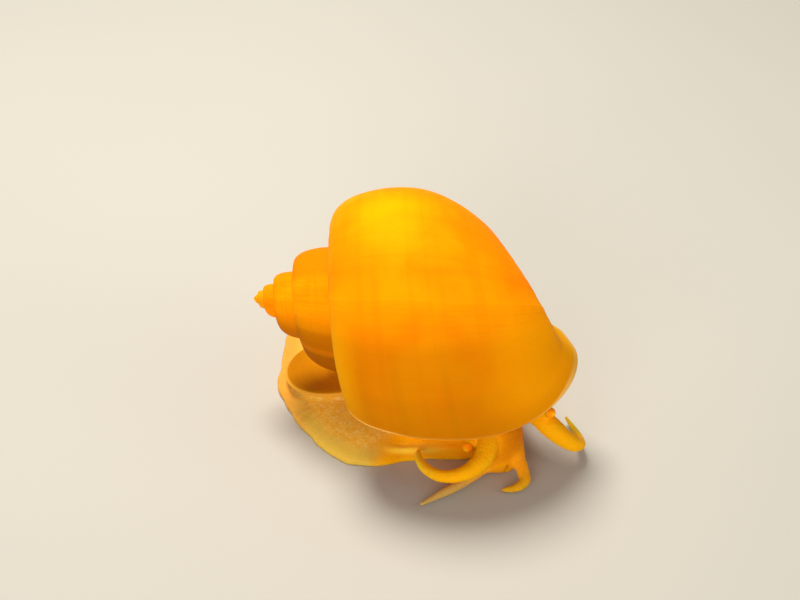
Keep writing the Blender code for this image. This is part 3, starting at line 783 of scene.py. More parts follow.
@dataclass(frozen=True)
class SkinFinish:
    """Moist flesh: cream foot, orange neck and head, golden feelers, with fine specks and furrows."""

    cream: Colour = (1.0, 0.55, 0.07)
    cream_dark: Colour = (0.84, 0.4, 0.016)
    # Colour of the painted shade towards the foot's edge.
    painted_edge_shade: Colour = (0.66, 0.42, 0.06)
    cream_speck: Colour = (1.0, 0.68, 0.2)
    # Colour of the painted shade at the foot's tail end.
    tail: Colour = (0.66, 0.29, 0.04)
    snout: Colour = (0.5, 0.135, 0.001)
    orange: Colour = (1.0, 0.37, 0.002)
    orange_dark: Colour = (0.9, 0.24, 0.0015)
    golden: Colour = (0.9, 0.39, 0.003)
    # Colour of the painted highlight along the ridge of the neck.
    bright: Colour = (1.0, 0.62, 0.05)
    yellow: Colour = (0.85, 0.41, 0.003)
    # Paler colour of the feeler tips: partly their own colour, partly painted light.
    olive: Colour = (1.0, 0.68, 0.03)
    # Colour of the painted shade on the far end of the left feeler.
    moss: Colour = (0.42, 0.28, 0.005)
    umber: Colour = (0.6, 0.32, 0.008)
    lips: Colour = (0.8, 0.31, 0.002)
    buff: Colour = (0.88, 0.36, 0.01)
    pale: Colour = (0.5, 0.32, 0.095)
    rim: Colour = (0.95, 0.52, 0.08)
    speck: Colour = (0.96, 0.5, 0.04)
    gloss: Colour = (1.0, 0.78, 0.25)
    mottle: tuple = (0.35, 0.7)
    mottle_size: float = 1.6
    patch_size: float = 0.55
    body_mottle: float = 0.35
    sole_mottle: float = 0.4
    rod_mottle: float = 0.35
    face_share: float = 0.8
    mantle_share: float = 0.5
    speck_pace: float = 2.6
    speck_dots: tuple = (0.12, 0.3, 1.0, 0.0)
    speck_patch_size: float = 0.9
    speck_patches: tuple = (0.45, 0.62, 0.0, 0.3)
    furrow_pace: float = 1.9
    furrow_width: float = 0.22
    furrow_depth: float = 0.02
    grains: tuple = (Grain(0.35, 3.0, 0.0, 0.02),)
    sheen_size: float = 0.8
    roughness: tuple = (0.3, 0.7, 0.34, 0.48)
    depth_of_light: float = 1.4

    def body(self, bench: NodeBench) -> Socket:
        """Colour of neck, head and snout, with a painted highlight along the ridge above the foot.

        Args:
            bench: The material's nodes.

        Returns:
            The colour.
        """
        share = bench.math("MULTIPLY", bench.read(Reading.MOTTLE), self.body_mottle)
        tone = bench.mix(share, self.orange, self.orange_dark)
        tone = bench.mix(bench.math("MULTIPLY", bench.read(Reading.FACE), self.face_share), tone, self.snout)
        for reading, colour in (
            (Reading.LIPS, self.lips),
            (Reading.APRON, self.golden),
            # Painted highlight along the ridge.
            (Reading.RIDGE, self.bright),
        ):
            tone = bench.mix(bench.read(reading), tone, colour)
        return tone

    def sole(self, bench: NodeBench) -> Socket:
        """Colour of the foot, darker towards its edge and at its tail end as painted shade.

        Args:
            bench: The material's nodes.

        Returns:
            The colour.
        """
        share = bench.math("MULTIPLY", bench.read(Reading.MOTTLE), self.sole_mottle)
        tints = [
            Tint("dark patches", self.cream_dark, (Fade(Reading.PATCHES, 0.38, 0.5, 0.45, 0.0),)),
            Tint("light patches", self.cream_speck, (Fade(Reading.PATCHES, 0.52, 0.66, 0.0, 0.6),)),
            # Painted shade: the foot is darker towards its edge.
            Tint("dull border", self.painted_edge_shade, (Fade(Reading.MARGIN, 0.8, 0.95),)),
            Tint("rim", self.rim, (Fade(Reading.MARGIN, 0.96, 0.99, 0.0, 0.12),)),
            # Painted shade: darker tail end of the foot.
            Tint("tail end", self.tail, (Fade(Reading.FORWARD, -16.5, -11.5, 0.9, 0.0),)),
        ]
        return bench.lay(bench.mix(share, self.cream, self.cream_dark), tints)

    def rod(self, bench: NodeBench) -> Socket:
        """Colour of the feelers: paler towards the tips, partly their own colour and partly painted light
        against the shade on their inner side, and darker at the left feeler's far end as painted shade.

        Args:
            bench: The material's nodes.

        Returns:
            The colour.
        """
        share = bench.math("MULTIPLY", bench.read(Reading.MOTTLE), self.rod_mottle)
        tone = bench.mix(share, self.yellow, self.orange)
        # Paler towards the tips: partly the feelers' own colour, partly painted light against the shade on
        # their inner side.
        tone = bench.mix(bench.share(Fade(Reading.TIP, 0.6, 1.0, 0.0, 0.8)), tone, self.olive)
        # Painted shade on the far end of the left feeler.
        return bench.mix(bench.read(Reading.MOSS), tone, self.moss)

    def lobe(self, bench: NodeBench) -> Socket:
        """Colour of the lip palps."""
        tone = bench.mix(bench.share(Fade(Reading.TIP, 0.3, 0.9, 0.0, 0.9)), self.buff, self.umber)
        return bench.mix(bench.read(Reading.GHOST), tone, self.pale)

    def build(self) -> Material:
        """Builds the material.

        Returns:
            The material.
        """
        bench = NodeBench("skin")
        place = bench.places()
        mottle = bench.noise(place, self.mottle_size, detail=4.0, warp=0.3)
        patches = bench.noise(place, self.patch_size, warp=0.4)
        bench.readings.update(
            {
                Reading.MOTTLE: bench.range(mottle, *self.mottle),
                Reading.PATCHES: patches,
                Reading.FORWARD: bench.across(place),
            }
        )
        foot = bench.read(Reading.FOOT)
        tone = bench.mix(foot, self.body(bench), self.sole(bench))
        tone = bench.mix(bench.read(Reading.FEELER), tone, self.rod(bench))
        tone = bench.mix(bench.read(Reading.PALP), tone, self.lobe(bench))
        inner = bench.math("MULTIPLY", bench.read(Reading.MANTLE), self.mantle_share)
        tone = bench.mix(inner, tone, self.orange_dark)
        dots = bench.range(bench.cells(place, self.speck_pace, 1.0), *self.speck_dots)
        patchy = bench.noise(place, self.speck_patch_size, detail=2.0)
        dots = bench.math("MULTIPLY", dots, bench.range(patchy, *self.speck_patches))
        tone = bench.mix(dots, tone, bench.mix(foot, self.speck, self.cream_speck))
        cells = bench.cells(place, self.furrow_pace, 0.9, feature="DISTANCE_TO_EDGE")
        furrows = bench.bump(bench.range(cells, 0.0, self.furrow_width), self.furrow_depth)
        bench.surface(
            Base_Color=tone,
            Roughness=bench.range(bench.noise(place, self.sheen_size), *self.roughness),
            Normal=bench.roughen(place, self.grains, furrows),
            Subsurface_Weight=0.4,
            Subsurface_Radius=(1.0, 0.45, 0.1),
            Subsurface_Scale=self.depth_of_light * MM,
            Specular_Tint=(*self.gloss, 1.0),
            IOR=1.12,
        )
        return bench.material


@dataclass(frozen=True)
class EyeFinish:
    """Small glassy eye: orange-red ring round a lighter orange middle, paler at its root."""

    ring: Colour = (0.98, 0.31, 0.002)
    middle: Colour = (1.0, 0.46, 0.004)
    root: Colour = (1.0, 0.42, 0.003)
    gloss: Colour = (1.0, 0.7, 0.2)
    ring_from: Pair = (0.14, 0.26)
    root_from: Pair = (0.42, 0.7)
    grain_size: float = 0.12
    grain: float = 0.12
    bump_size: float = 0.1
    bump_depth: float = 0.004
    depth_of_light: float = 0.4

    def build(self) -> Material:
        """Builds the material.

        Returns:
            The material.
        """
        bench = NodeBench("eye_red")
        place = bench.places()
        grain = bench.math("MULTIPLY", bench.noise(place, self.grain_size, detail=2.0), self.grain)
        edge = bench.math("ADD", bench.read(Reading.POLAR), grain)
        tone = bench.mix(bench.range(edge, *self.ring_from), self.middle, self.ring)
        tone = bench.mix(bench.range(edge, *self.root_from), tone, self.root)
        bench.surface(
            Base_Color=tone,
            Roughness=0.25,
            IOR=1.2,
            Specular_Tint=(*self.gloss, 1.0),
            Subsurface_Weight=0.3,
            Subsurface_Radius=(1.0, 0.3, 0.1),
            Subsurface_Scale=self.depth_of_light * MM,
            Normal=bench.bump(bench.noise(place, self.bump_size), self.bump_depth),
        )
        return bench.material


@dataclass(frozen=True)
class FloorFinish:
    """Plain pale matt floor."""

    tone: Colour = (0.46, 0.45, 0.43)
    darkening: float = 0.97
    cloud_size: float = 40.0

    def build(self) -> Material:
        """Builds the material.

        Returns:
            The material.
        """
        bench = NodeBench("floor")
        clouds = bench.noise(bench.places(), self.cloud_size, detail=2.0)
        darker = tuple(self.darkening * c for c in self.tone)
        bench.surface(Base_Color=bench.mix(clouds, self.tone, darker), Roughness=0.8)
        return bench.material


@dataclass(frozen=True)
class Spiral:
    """Place of the shell's axis and the growth of the whorl about it."""

    apex: Point = (-21.0, 0.2, 17.0)
    yaw: float = math.radians(-6.4)
    pitch: float = math.radians(2.5)
    lip_below_level: float = math.radians(25.0)
    radial_growth: float = 2.05
    axial_growth: float = 1.88
    suture_end: float = math.radians(-1.0)
    run_in: float = math.radians(80.0)
    fullness: tuple = (1.0, 1.0, 1.0, 1.0, 0.92, 0.955, 0.97, 1.02, 1.07, 1.04)
    quarters: int = 4
    apex_widening: float = 0.04
    apex_from: float = 10.5
    swell: float = 0.65
    swell_span: float = math.radians(120.0)
    swell_from: float = 28.4
    swell_to: float = 44.9

    def axes(self) -> Array:
        """Directions of the shell's own frame.

        Returns:
            Unit rows: towards the lip, square to it, and down the axis.
        """
        level = math.cos(self.pitch)
        axis = np.array([math.cos(self.yaw) * level, math.sin(self.yaw) * level, math.sin(self.pitch)])
        towards = np.array([0.0, -math.cos(self.lip_below_level), -math.sin(self.lip_below_level)])
        lip = towards - axis * (towards @ axis)
        lip /= np.linalg.norm(lip)
        return np.stack([lip, np.cross(axis, lip), axis])

    def widen(self, turns: Array) -> Array:
        """Growth of the radius, fuller or slimmer from one quarter turn to the next.

        Args:
            turns: Turns from the lip, below zero behind it.

        Returns:
            The factor on the full-size radius.
        """
        quarters = np.maximum(-self.quarters * np.asarray(turns, float), 0.0)
        near = np.floor(quarters)
        smooth = near + ease(quarters - near)
        fullness = np.interp(smooth, np.arange(len(self.fullness)), self.fullness)
        fullness = fullness + self.apex_widening * np.maximum(quarters - self.apex_from, 0.0)
        return fullness * self.radial_growth**turns

    def bulge(self, along: Array, angle: Array) -> Array:
        """Swelling of the base a little behind the lip.

        Args:
            along: Distance along the axis in the full-size section.
            angle: Angle from the lip.

        Returns:
            Millimetres that the base moves down the axis.
        """
        share = np.maximum(along - self.swell_from, 0.0) / (self.swell_to - self.swell_from)
        inside = (angle > -self.swell_span) & (angle < 0.0)
        return np.where(inside, self.swell * share * np.sin(math.pi * angle / self.swell_span) ** 2, 0.0)

    def place(self, radius: Array, along: Array, angle: Array) -> Array:
        """World place of a point of the full-size section after growth to this angle.

        Args:
            radius: Distance from the axis in the section.
            along: Distance along the axis in the section.
            angle: Angle from the lip.

        Returns:
            World places.
        """
        angle = np.asarray(angle, float)
        turns = angle / TURN
        out = radius * self.widen(turns)
        down = along * self.axial_growth**turns + self.bulge(np.asarray(along, float), angle)
        own = np.stack(np.broadcast_arrays(out * np.cos(angle), out * np.sin(angle), down))
        return np.moveaxis(own, 0, -1) @ self.axes() + np.array(self.apex)

    def ahead(self, turn: Array, lead: Array) -> Array:
        """Angle with the lip's lead run in over the last stretch."""
        return turn + lead * ease((turn - self.suture_end + self.run_in) / self.run_in)

    def unroll(self, points: Array) -> tuple[Array, Array, Array]:
        """Undoes the growth, for places within half a turn of the lip.

        Args:
            points: World places, one per line.

        Returns:
            Radius and distance along the axis as in the full-size section, and the angle.
        """
        own = (points - np.array(self.apex)) @ self.axes().T
        angle = np.arctan2(own[:, 1], own[:, 0])
        turns = angle / TURN
        along = own[:, 2] / self.axial_growth**turns
        along = along - self.bulge(along, angle)
        return np.hypot(own[:, 0], own[:, 1]) / self.widen(turns), along, angle


class Patchwork:
    """Mesh of the shell, made patch by patch, with the numbers that its finish reads."""

    def __init__(self) -> None:
        """Starts with nothing."""
        self.points: list[Array] = []
        self.faces: list = []
        self.values: dict[str, list] = {"growth": [], "girth": [], "lip": [], "inner": []}
        self.count = 0

    def places(self) -> Array:
        """All places so far, one per line."""
        return np.vstack(self.points)

    def add(
        self, points: Array, growth: Numbers, girth: Numbers, lip: Numbers, inner: float = 0.0
    ) -> Array:
        """Adds the points of a patch.

        Args:
            points: Places, in any number of rows.
            growth: Turns from the lip, below zero behind it.
            girth: Share of the section from suture to base.
            lip: Distance from the lip in millimetres, cut to 0 and FAR.
            inner: 1 for the hollow.

        Returns:
            The points' numbers.
        """
        shape = points.shape[:-1]
        ids = self.count + np.arange(math.prod(shape)).reshape(shape)
        self.points.append(points.reshape(-1, 3))
        for name, value in zip(self.values, (growth, girth, np.clip(lip, 0.0, FAR), inner)):
            self.values[name].append(np.broadcast_to(value, shape).ravel())
        self.count += ids.size
        return ids

    def join(self, ids: Array, closed: bool = False) -> None:
        """Lays quads between rows of numbers, which run back to their start if closed."""
        self.faces += grid_quads(ids, closed)

    def grow(self, previous: Array, row: Array, *values: float) -> Array:
        """Adds a closed row and joins it to the one before.

        Args:
            previous: Numbers of the row before.
            row: Places of the new row.
            *values: Its growth, girth, lip distance and inner value.

        Returns:
            The new row's numbers.
        """
        ids = self.add(row, *values)
        self.join(np.stack([previous, ids]), True)
        return ids

    def cap(self, previous: Array, middle: Array, *values: float) -> None:
        """Closes a row with triangles to one point, which has these values."""
        point = int(self.add(middle[None], *values)[0])
        self.faces += [[a, b, point] for a, b in zip(previous, np.roll(previous, -1))]

    def make(self, name: str, material: Material) -> Piece:
        """Makes the object.

        Args:
            name: Name of the piece.
            material: Its finish.

        Returns:
            The object.
        """
        obj = make_object(name, self.places(), self.faces, material)
        for key, rows in self.values.items():
            set_values(obj, key, np.concatenate(rows))
        return obj


@dataclass
class Shell:
    """Right-handed shell with a tall body whorl, four smaller whorls and an open mouth."""

    spiral: Spiral
    finish: ShellFinish
    whorls: float = 5.0
    steps: int = 180
    span_steps: int = 6
    suture: Pair = (21.4, 28.4)
    shoulder: tuple = (
        (12.1, 14.8), (14.5, 14.5), (17.1, 15.5), (19.1, 17.8), (20.45, 21.1), (21.2, 24.6),
    )
    base: tuple = (
        (21.0, 31.5), (19.85, 34.9), (17.65, 38.7), (14.4, 42.4), (10.3, 44.8), (6.4, 44.9), (3.2, 42.5),
    )
    navel: tuple = ((2.3, 40.9), (1.4, 39.5), (0.6, 38.9))
    columella_foot: float = 38.8
    columella: float = 3.6
    pillar_from: float = 26.5
    pillar_rise: float = 13.6
    pillar_most: float = 1.08
    pillar_reach: float = 1.6
    lowest_callus: float = 25.2
    rim_rounds: int = 12
    rim_blend: int = 3
    lip_lead: tuple = (1.0, 4.0, 0.6, -0.9, 0.2, 6.0, 11.0, 17.5)
    wall: float = 0.9
    callus: float = 0.4
    edge_bulge: float = 0.25
    edge_shares: tuple = (0.15, 0.35, 0.6, 0.85)
    edge_run: float = 4.0
    edge_radius: float = 5.0
    edge_tone: float = 0.4
    cavity_depth: float = math.radians(66.0)
    cavity_rows: int = 18
    tuck: float = 0.1
    relief: float = 0.05
    fold_pace: float = 42.0
    fold_girth: float = 1.2
    fold_detail: float = 2.3
    cord_pace: float = 46.0
    cord_height: float = 0.18
    lip_scale: float = 20.0
    sharp_from: float = math.radians(60.0)
    apex_drop: float = 0.62
    dome_rise: float = 0.105
    dome_shares: tuple = (0.88, 0.74, 0.6, 0.45, 0.3, 0.15)

    def __post_init__(self) -> None:
        """Draws the section and lists the steps of growth."""
        self.rows, self.seat, self.leads = self.section()
        self.last = len(self.rows) - 1
        total = round(self.whorls * self.steps)
        self.turn = self.spiral.suture_end + (np.arange(total + 1) - total) * TURN / self.steps
        self.angle = self.spiral.ahead(self.turn[:, None], self.leads[None, :])

    def section(self) -> tuple[Array, int, Array]:
        """Section of the whorl at full size.

        Returns:
            Rows from suture to base, the row that carries the next whorl, and each row's lip lead.
        """
        spiral = self.spiral
        start = (self.suture[0] / spiral.radial_growth, self.suture[1] / spiral.axial_growth)
        controls = np.array([start, *self.shoulder, self.suture, *self.base])
        rows = smooth_rows(controls, self.span_steps)
        seat = (len(self.shoulder) + 1) * self.span_steps
        lead_steps = self.span_steps * (len(controls) - 1) // (len(self.lip_lead) - 1)
        leads = smooth_rows(np.radians(np.array(self.lip_lead))[:, None], lead_steps)[:, 0]
        return rows, seat, leads

    def relief_at(self, growth: Array, girth: Array) -> Array:
        """Height of the growth folds.

        Args:
            growth: Turns back from the lip.
            girth: Share of the section from suture to base.

        Returns:
            Heights in millimetres at full size.
        """
        back, down = growth.ravel(), girth.ravel()
        spots = np.stack([back * self.fold_pace, down * self.fold_girth, np.zeros(growth.size)], axis=1)
        broad = value_noise(spots, 1.0, 3) + 0.5 * value_noise(spots * self.fold_detail, 1.0, 5)
        cords = np.sin(down * self.cord_pace) * self.cord_height
        return (broad + cords).reshape(growth.shape) * self.relief

    def mouth(self) -> tuple[Array, Array]:
        """Rim and opening of the mouth.

        Returns:
            Rows of (radius, along, lead) round the rim, and the matching rows inside the wall.
        """
        spiral, section, seat, leads, last = self.spiral, self.rows, self.seat, self.leads, self.last
        growth = np.array([1.0 / float(spiral.widen(-1.0)), spiral.axial_growth])
        top = self.columella_foot / spiral.axial_growth
        outer = np.column_stack([section, leads])
        navel = np.array([(*point, leads[last]) for point in self.navel])
        share = np.linspace(0.0, 1.0, self.steps + 1)
        pillar = np.column_stack(
            [
                np.zeros(len(share)),
                self.columella_foot * spiral.axial_growth**-share,
                leads[last] * (1 - share),
            ]
        )
        back = np.column_stack([np.array(self.navel)[::-1] / growth, np.zeros(len(self.navel))])
        parietal = np.column_stack([section[last:seat:-1] / growth, np.zeros(last - seat)])
        rim = np.vstack([outer, navel, pillar, back, parietal])
        run = np.roll(rim[:, :2], -1, axis=0) - np.roll(rim[:, :2], 1, axis=0)
        run[0] = rim[1, :2] - rim[0, :2]
        run /= np.maximum(np.linalg.norm(run, axis=1, keepdims=True), SMALL)
        depth = np.where(np.arange(len(rim)) <= last, self.wall, self.callus)[:, None]
        opening = rim.copy()
        opening[:, :2] += np.column_stack([-run[:, 1], run[:, 0]]) * depth
        first, end = last + 1, last + 1 + len(navel) + len(pillar) + len(back)
        climb = (rim[first:end, 1] - top) / (self.columella_foot - top)
        opening[first:end, 0] = self.columella
        opening[first:end, 1] = self.pillar_from + np.clip(climb, 0.0, self.pillar_most) * self.pillar_rise
        close = opening[:, 0] < self.columella + self.pillar_reach
        opening[:, 1] = np.where(close, np.maximum(opening[:, 1], self.lowest_callus), opening[:, 1])
        opening[:, 0] = np.maximum(opening[:, 0], self.columella)
        soft = last - self.rim_blend
        for _ in range(self.rim_rounds):
            middle = 0.5 * (np.roll(opening, 1, axis=0) + np.roll(opening, -1, axis=0))
            opening[soft:] = 0.5 * (opening[soft:] + middle[soft:])
        return rim, opening

    def outer_wall(self, patches: Patchwork) -> Array:
        """Adds the outer wall of all whorls, with its growth folds.

        Args:
            patches: The mesh so far.

        Returns:
            Vertex numbers, one row to each step of growth.
        """
        spiral, rows, seat = self.spiral, self.rows, self.seat
        wall = spiral.place(rows[None, :, 0], rows[None, :, 1], self.angle)
        normal = np.cross(np.gradient(wall, axis=1), np.gradient(wall, axis=0))
        normal /= np.maximum(np.linalg.norm(normal, axis=2, keepdims=True), TINY)
        outward = wall[-1, seat] - spiral.place(0.0, rows[seat, 1], self.turn[-1])
        normal *= np.sign(normal[-1, seat] @ outward)
        girth = np.broadcast_to(np.arange(self.last + 1) / self.last, wall.shape[:2])
        scale = spiral.widen(self.turn / TURN)
        lift = self.relief_at(self.angle / TURN, girth) * scale[:, None] - self.tuck
        wall = wall + normal * lift[:, :, None]
        lip = (spiral.suture_end + self.leads[None] - self.angle) * self.lip_scale
        ids = patches.add(wall, self.angle / TURN, girth, lip)
        ids[self.steps :, 0] = ids[: -self.steps, seat]
        body = len(self.turn) - 1 - self.steps
        patches.join(ids[: body + 1, : seat + 1])
        patches.join(ids[body:])
        return ids

    def navel_pit(self, patches: Patchwork, ids: Array) -> tuple[Array, Array]:
        """Adds the umbilicus under the body whorl.

        Args:
            patches: The mesh so far.
            ids: Vertex numbers of the outer wall.

        Returns:
            Vertex numbers of the pit's wall, and of the line in its depth.
        """
        spiral, navel = self.spiral, np.array(self.navel)
        body = self.turn[-self.steps - 1 :]
        lead_in = spiral.ahead(body, self.leads[self.last])[:, None]
        pit = spiral.place(navel[None, :, 0], navel[None, :, 1], lead_in)
        growth = body / TURN
        lip = -growth * TURN * self.lip_scale
        pit_ids = patches.add(pit, growth[:, None], 1.0, lip[:, None])
        stem_ids = patches.add(spiral.place(0.0, self.columella_foot, body), growth, 1.0, lip)
        patches.join(np.column_stack([ids[-self.steps - 1 :, self.last], pit_ids, stem_ids]))
        return pit_ids, stem_ids

    def apex_dome(self, patches: Patchwork, ids: Array) -> None:
        """Closes the first whorl with a low dome.

        Args:
            patches: The mesh so far.
            ids: Vertex numbers of the outer wall.
        """
        spiral, growth = self.spiral, self.turn[0] / TURN
        apex = spiral.place(0.0, self.rows[0, 1] * self.apex_drop, self.turn[0])
        previous = np.concatenate([ids[: self.steps + 1, 0], ids[0, self.seat - 1 : 0 : -1]])
        tip = patches.places()[previous]
        for share in self.dome_shares:
            rise = self.dome_rise * math.sin(math.pi * share) ** 2
            row = apex + (tip - apex) * share - spiral.axes()[2] * rise
            previous = patches.grow(previous, row, growth, 0.5, FAR)
        patches.cap(previous, apex, growth, 0.5, FAR)

    def mouth_lining(self, patches: Patchwork, previous: Array) -> None:
        """Adds the rounded edge of the mouth and the hollow behind it.

        Args:
            patches: The mesh so far.
            previous: Vertex numbers round the rim.
        """
        rim, opening = self.mouth()
        for row in self.wall_edge(rim, opening):
            previous = patches.grow(previous, row, 0.0, 1.0, 0.0, self.edge_tone)
        for row in self.cavity(opening):
            previous = patches.grow(previous, row, 0.0, 1.0, FAR, 1.0)
        patches.cap(previous, row.mean(axis=0), 0.0, 1.0, FAR, 1.0)

    def build(self) -> Piece:
        """Builds the shell's mesh and dresses it.

        Returns:
            The shell.
        """
        patches = Patchwork()
        ids = self.outer_wall(patches)
        pit_ids, stem_ids = self.navel_pit(patches, ids)
        self.apex_dome(patches, ids)
        across = ids[-self.steps - 1, self.last : self.seat : -1]
        rim = [ids[-1], pit_ids[-1], stem_ids[::-1], pit_ids[0][::-1], across]
        self.mouth_lining(patches, np.concatenate(rim))
        obj = patches.make("shell_piece", self.finish.build())
        face_out(obj)
        obj.data.set_sharp_from_angle(angle=self.sharp_from)
        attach(obj, "root")
        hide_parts("shell")
        log.info("shell: %d faces", len(obj.data.polygons))
        return obj

    def wall_edge(self, rim: Array, opening: Array) -> list[Array]:
        """Rounded edge between the outer wall and the opening.

        Args:
            rim: Rows round the rim.
            opening: Rows inside the wall.

        Returns:
            Rows of world places.
        """
        rows = []
        outer = ease((self.last + 2 - np.arange(len(rim))) / self.edge_run)
        for share in self.edge_shares:
            blend = rim + (opening - rim) * share
            radius, along, lead = blend.T
            swell = self.edge_bulge * math.sin(math.pi * share) * outer
            angle = self.spiral.suture_end + lead + swell / np.maximum(radius, self.edge_radius)
            rows.append(self.spiral.place(radius, along, angle))
        return rows

    def cavity(self, opening: Array) -> list[Array]:
        """Rows of the hollow behind the opening.

        Args:
            opening: Rows inside the wall.

        Returns:
            Rows of world places, each deeper than the last.
        """
        rows = []
        for depth in np.linspace(0.0, self.cavity_depth, self.cavity_rows):
            angle = self.spiral.suture_end + opening[:, 2] * (1 - depth / self.cavity_depth) - depth
            rows.append(self.spiral.place(opening[:, 0], opening[:, 1], angle))
        return rows


@dataclass
class Operculum:
    """Horny teardrop plate that lies on its pad at the back of the foot."""

    finish: OperculumFinish
    centre: Point = (-8.6, 1.5, 4.15)
    yaw: float = math.radians(-9.0)
    pitch: float = math.radians(-7.0)
    length: float = 16.6
    width: float = 13.6
    taper: float = 0.14
    thickness: float = 0.8
    segments: int = 192
    heart: Pair = (2.0, -1.2)
    relief: float = 0.035
    waves: tuple = ((52.0, 0.0, 1.0), (97.0, 1.0, 0.6))
    waves_end: float = 1.2
    least_ring: float = 0.004
    upper_steps: int = 10
    lower_steps: int = 4
    upper: tuple = (
        (0.0, -0.3), (0.12, -0.3), (0.45, -0.22), (0.8, -0.05), (0.93, -0.04), (0.97, -0.15), (1.0, -0.45),
    )
    lower: tuple = ((1.0, -0.45), (0.985, -0.62), (0.93, -0.8), (0.55, -0.8), (0.0, -0.8))

    def matrix(self) -> Matrix:
        """Where the plate lies."""
        turn = Matrix.Rotation(self.yaw, 4, "Z") @ Matrix.Rotation(self.pitch, 4, "Y")
        return Matrix.Translation(Vector(self.centre)) @ turn

    def outline(self, share: float) -> Array:
        """Outline of the plate at a share of its size, moved towards its heart.

        Args:
            share: The share, from 0 to 1.

        Returns:
            Places in the plate's own plane.
        """
        angle = np.arange(self.segments) * TURN / self.segments
        x = 0.5 * self.length * np.cos(angle)
        y = 0.5 * self.width * np.sin(angle) * (1 - self.taper * np.cos(angle))
        shift = np.array(self.heart) * (1 - share)
        return np.column_stack([x, y]) * share + shift

    def build(self) -> Piece:
        """Builds the plate and dresses it.

        Returns:
            The operculum.
        """
        upper = smooth_rows(np.array(self.upper), self.upper_steps)
        lower = smooth_rows(np.array(self.lower), self.lower_steps)[1:]
        rows, share_of = [], []
        for number, (share, height) in enumerate([*upper, *lower]):
            share = max(float(share), self.least_ring)
            flat = self.outline(share)
            wave = 0.0
            if number < len(upper):
                wave = sum(size * math.sin(share * pace + phase) for pace, phase, size in self.waves)
                wave *= self.relief * ease(self.waves_end - share)
            rows.append(np.column_stack([flat, np.full(len(flat), height + wave - self.relief)]))
            share_of.append(np.full(len(flat), share))
        own = np.vstack(rows)
        matrix = np.array(self.matrix())
        points = own @ matrix[:3, :3].T + matrix[:3, 3]
        ids = np.arange(len(own)).reshape(len(rows), -1)
        faces = grid_quads(ids, True) + [ids[0].tolist(), ids[-1][::-1].tolist()]
        obj = make_object("operculum_piece", points, faces, self.finish.build())
        set_values(obj, "ring", np.concatenate(share_of))
        face_out(obj)
        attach(obj, "root")
        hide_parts("operculum")
        log.info("operculum: %d faces", len(obj.data.polygons))
        return obj


class Kind(Enum):
    """Regions of the flesh that the finish colours apart."""

    BODY = "body"
    FOOT = "foot"
    FEELER = "feeler"
    PALP = "palp"
    MANTLE = "mantle"


class Flesh:
    """Part of the flesh, which joins the others with a fillet."""

    fillet: float

    def reach_of_fillet(self, points: Array) -> Array:
        """The fillet's reach, the same all over."""
        return np.full(len(points), self.fillet)


@dataclass
class Limb(Flesh):
    """Round tapering limb along a smooth route. Its fillet fades away from its root."""

    route: tuple[Station, ...]
    kind: Kind
    fillet: float
    ring_size: float = 0.62
    ring_depth: float = 0.012
    span_steps: int = 4
    fillet_from: float = 3.0
    fillet_fade: float = 2.5
    least_fillet: float = 0.02

    def stations(self) -> Array:
        """Rows of (x, y, z, radius) along the route."""
        return smooth_rows(np.array([(*place, radius) for place, radius in self.route]), self.span_steps)

    def box(self) -> tuple[Array, Array]:
        """Lowest and highest corner.

        Returns:
            The two corners.
        """
        rows = self.stations()
        wide = rows[:, 3:].max(axis=1)[:, None]
        return (rows[:, :3] - wide).min(axis=0), (rows[:, :3] + wide).max(axis=0)

    def measure(self, points: Array) -> tuple[Array, Array]:
        """Distance to the limb, and how far along it each place is.

        Args:
            points: Places, one per line.

        Returns:
            Signed distances, and lengths from the root.
        """
        rows = self.stations()
        best, reach, walked = np.full(len(points), FAR), np.zeros(len(points)), 0.0
        for start, end in zip(rows, rows[1:]):
            length = float(np.linalg.norm(end[:3] - start[:3]))
            gap, share = self.gap(points - start[:3], start, end, length)
            closer = gap < best
            best, reach = np.where(closer, gap, best), np.where(closer, walked + share * length, reach)
            walked += length
        return best, reach

    def gap(self, offset: Array, start: Array, end: Array, length: float) -> tuple[Array, Array]:
        """Distance to the stretch between two stations.

        Args:
            offset: Places, from the first station.
            start: First station.
            end: Second station.
            length: Distance between them.

        Returns:
            Signed distances, and the nearest shares of the stretch.
        """
        edge = end[:3] - start[:3]
        t = np.clip(offset @ edge / (length * length), 0.0, 1.0)
        away = np.linalg.norm(offset - t[:, None] * edge, axis=1)
        return away - (start[3] + t * (end[3] - start[3])), t

    def length(self) -> float:
        """Length of the route."""
        return float(np.linalg.norm(np.diff(self.stations()[:, :3], axis=0), axis=1).sum())

    def distance(self, points: Array) -> Array:
        """Signed distance to the limb."""
        return self.measure(points)[0]

    def reach_of_fillet(self, points: Array) -> Array:
        """The fillet's reach: full at the root and none away from it.

        Args:
            points: Places, one per line.

        Returns:
            Reaches.
        """
        root = np.array(self.route[0][0])
        away = np.linalg.norm(points - root, axis=1)
        kept = 1 - ease((away - self.fillet_from) / self.fillet_fade)
        return np.maximum(self.fillet * kept, self.least_fillet)


@dataclass
class Ridge(Limb):
    """Low fold of flesh that lies on another part, with the same fillet all along."""

    reach_of_fillet = Flesh.reach_of_fillet


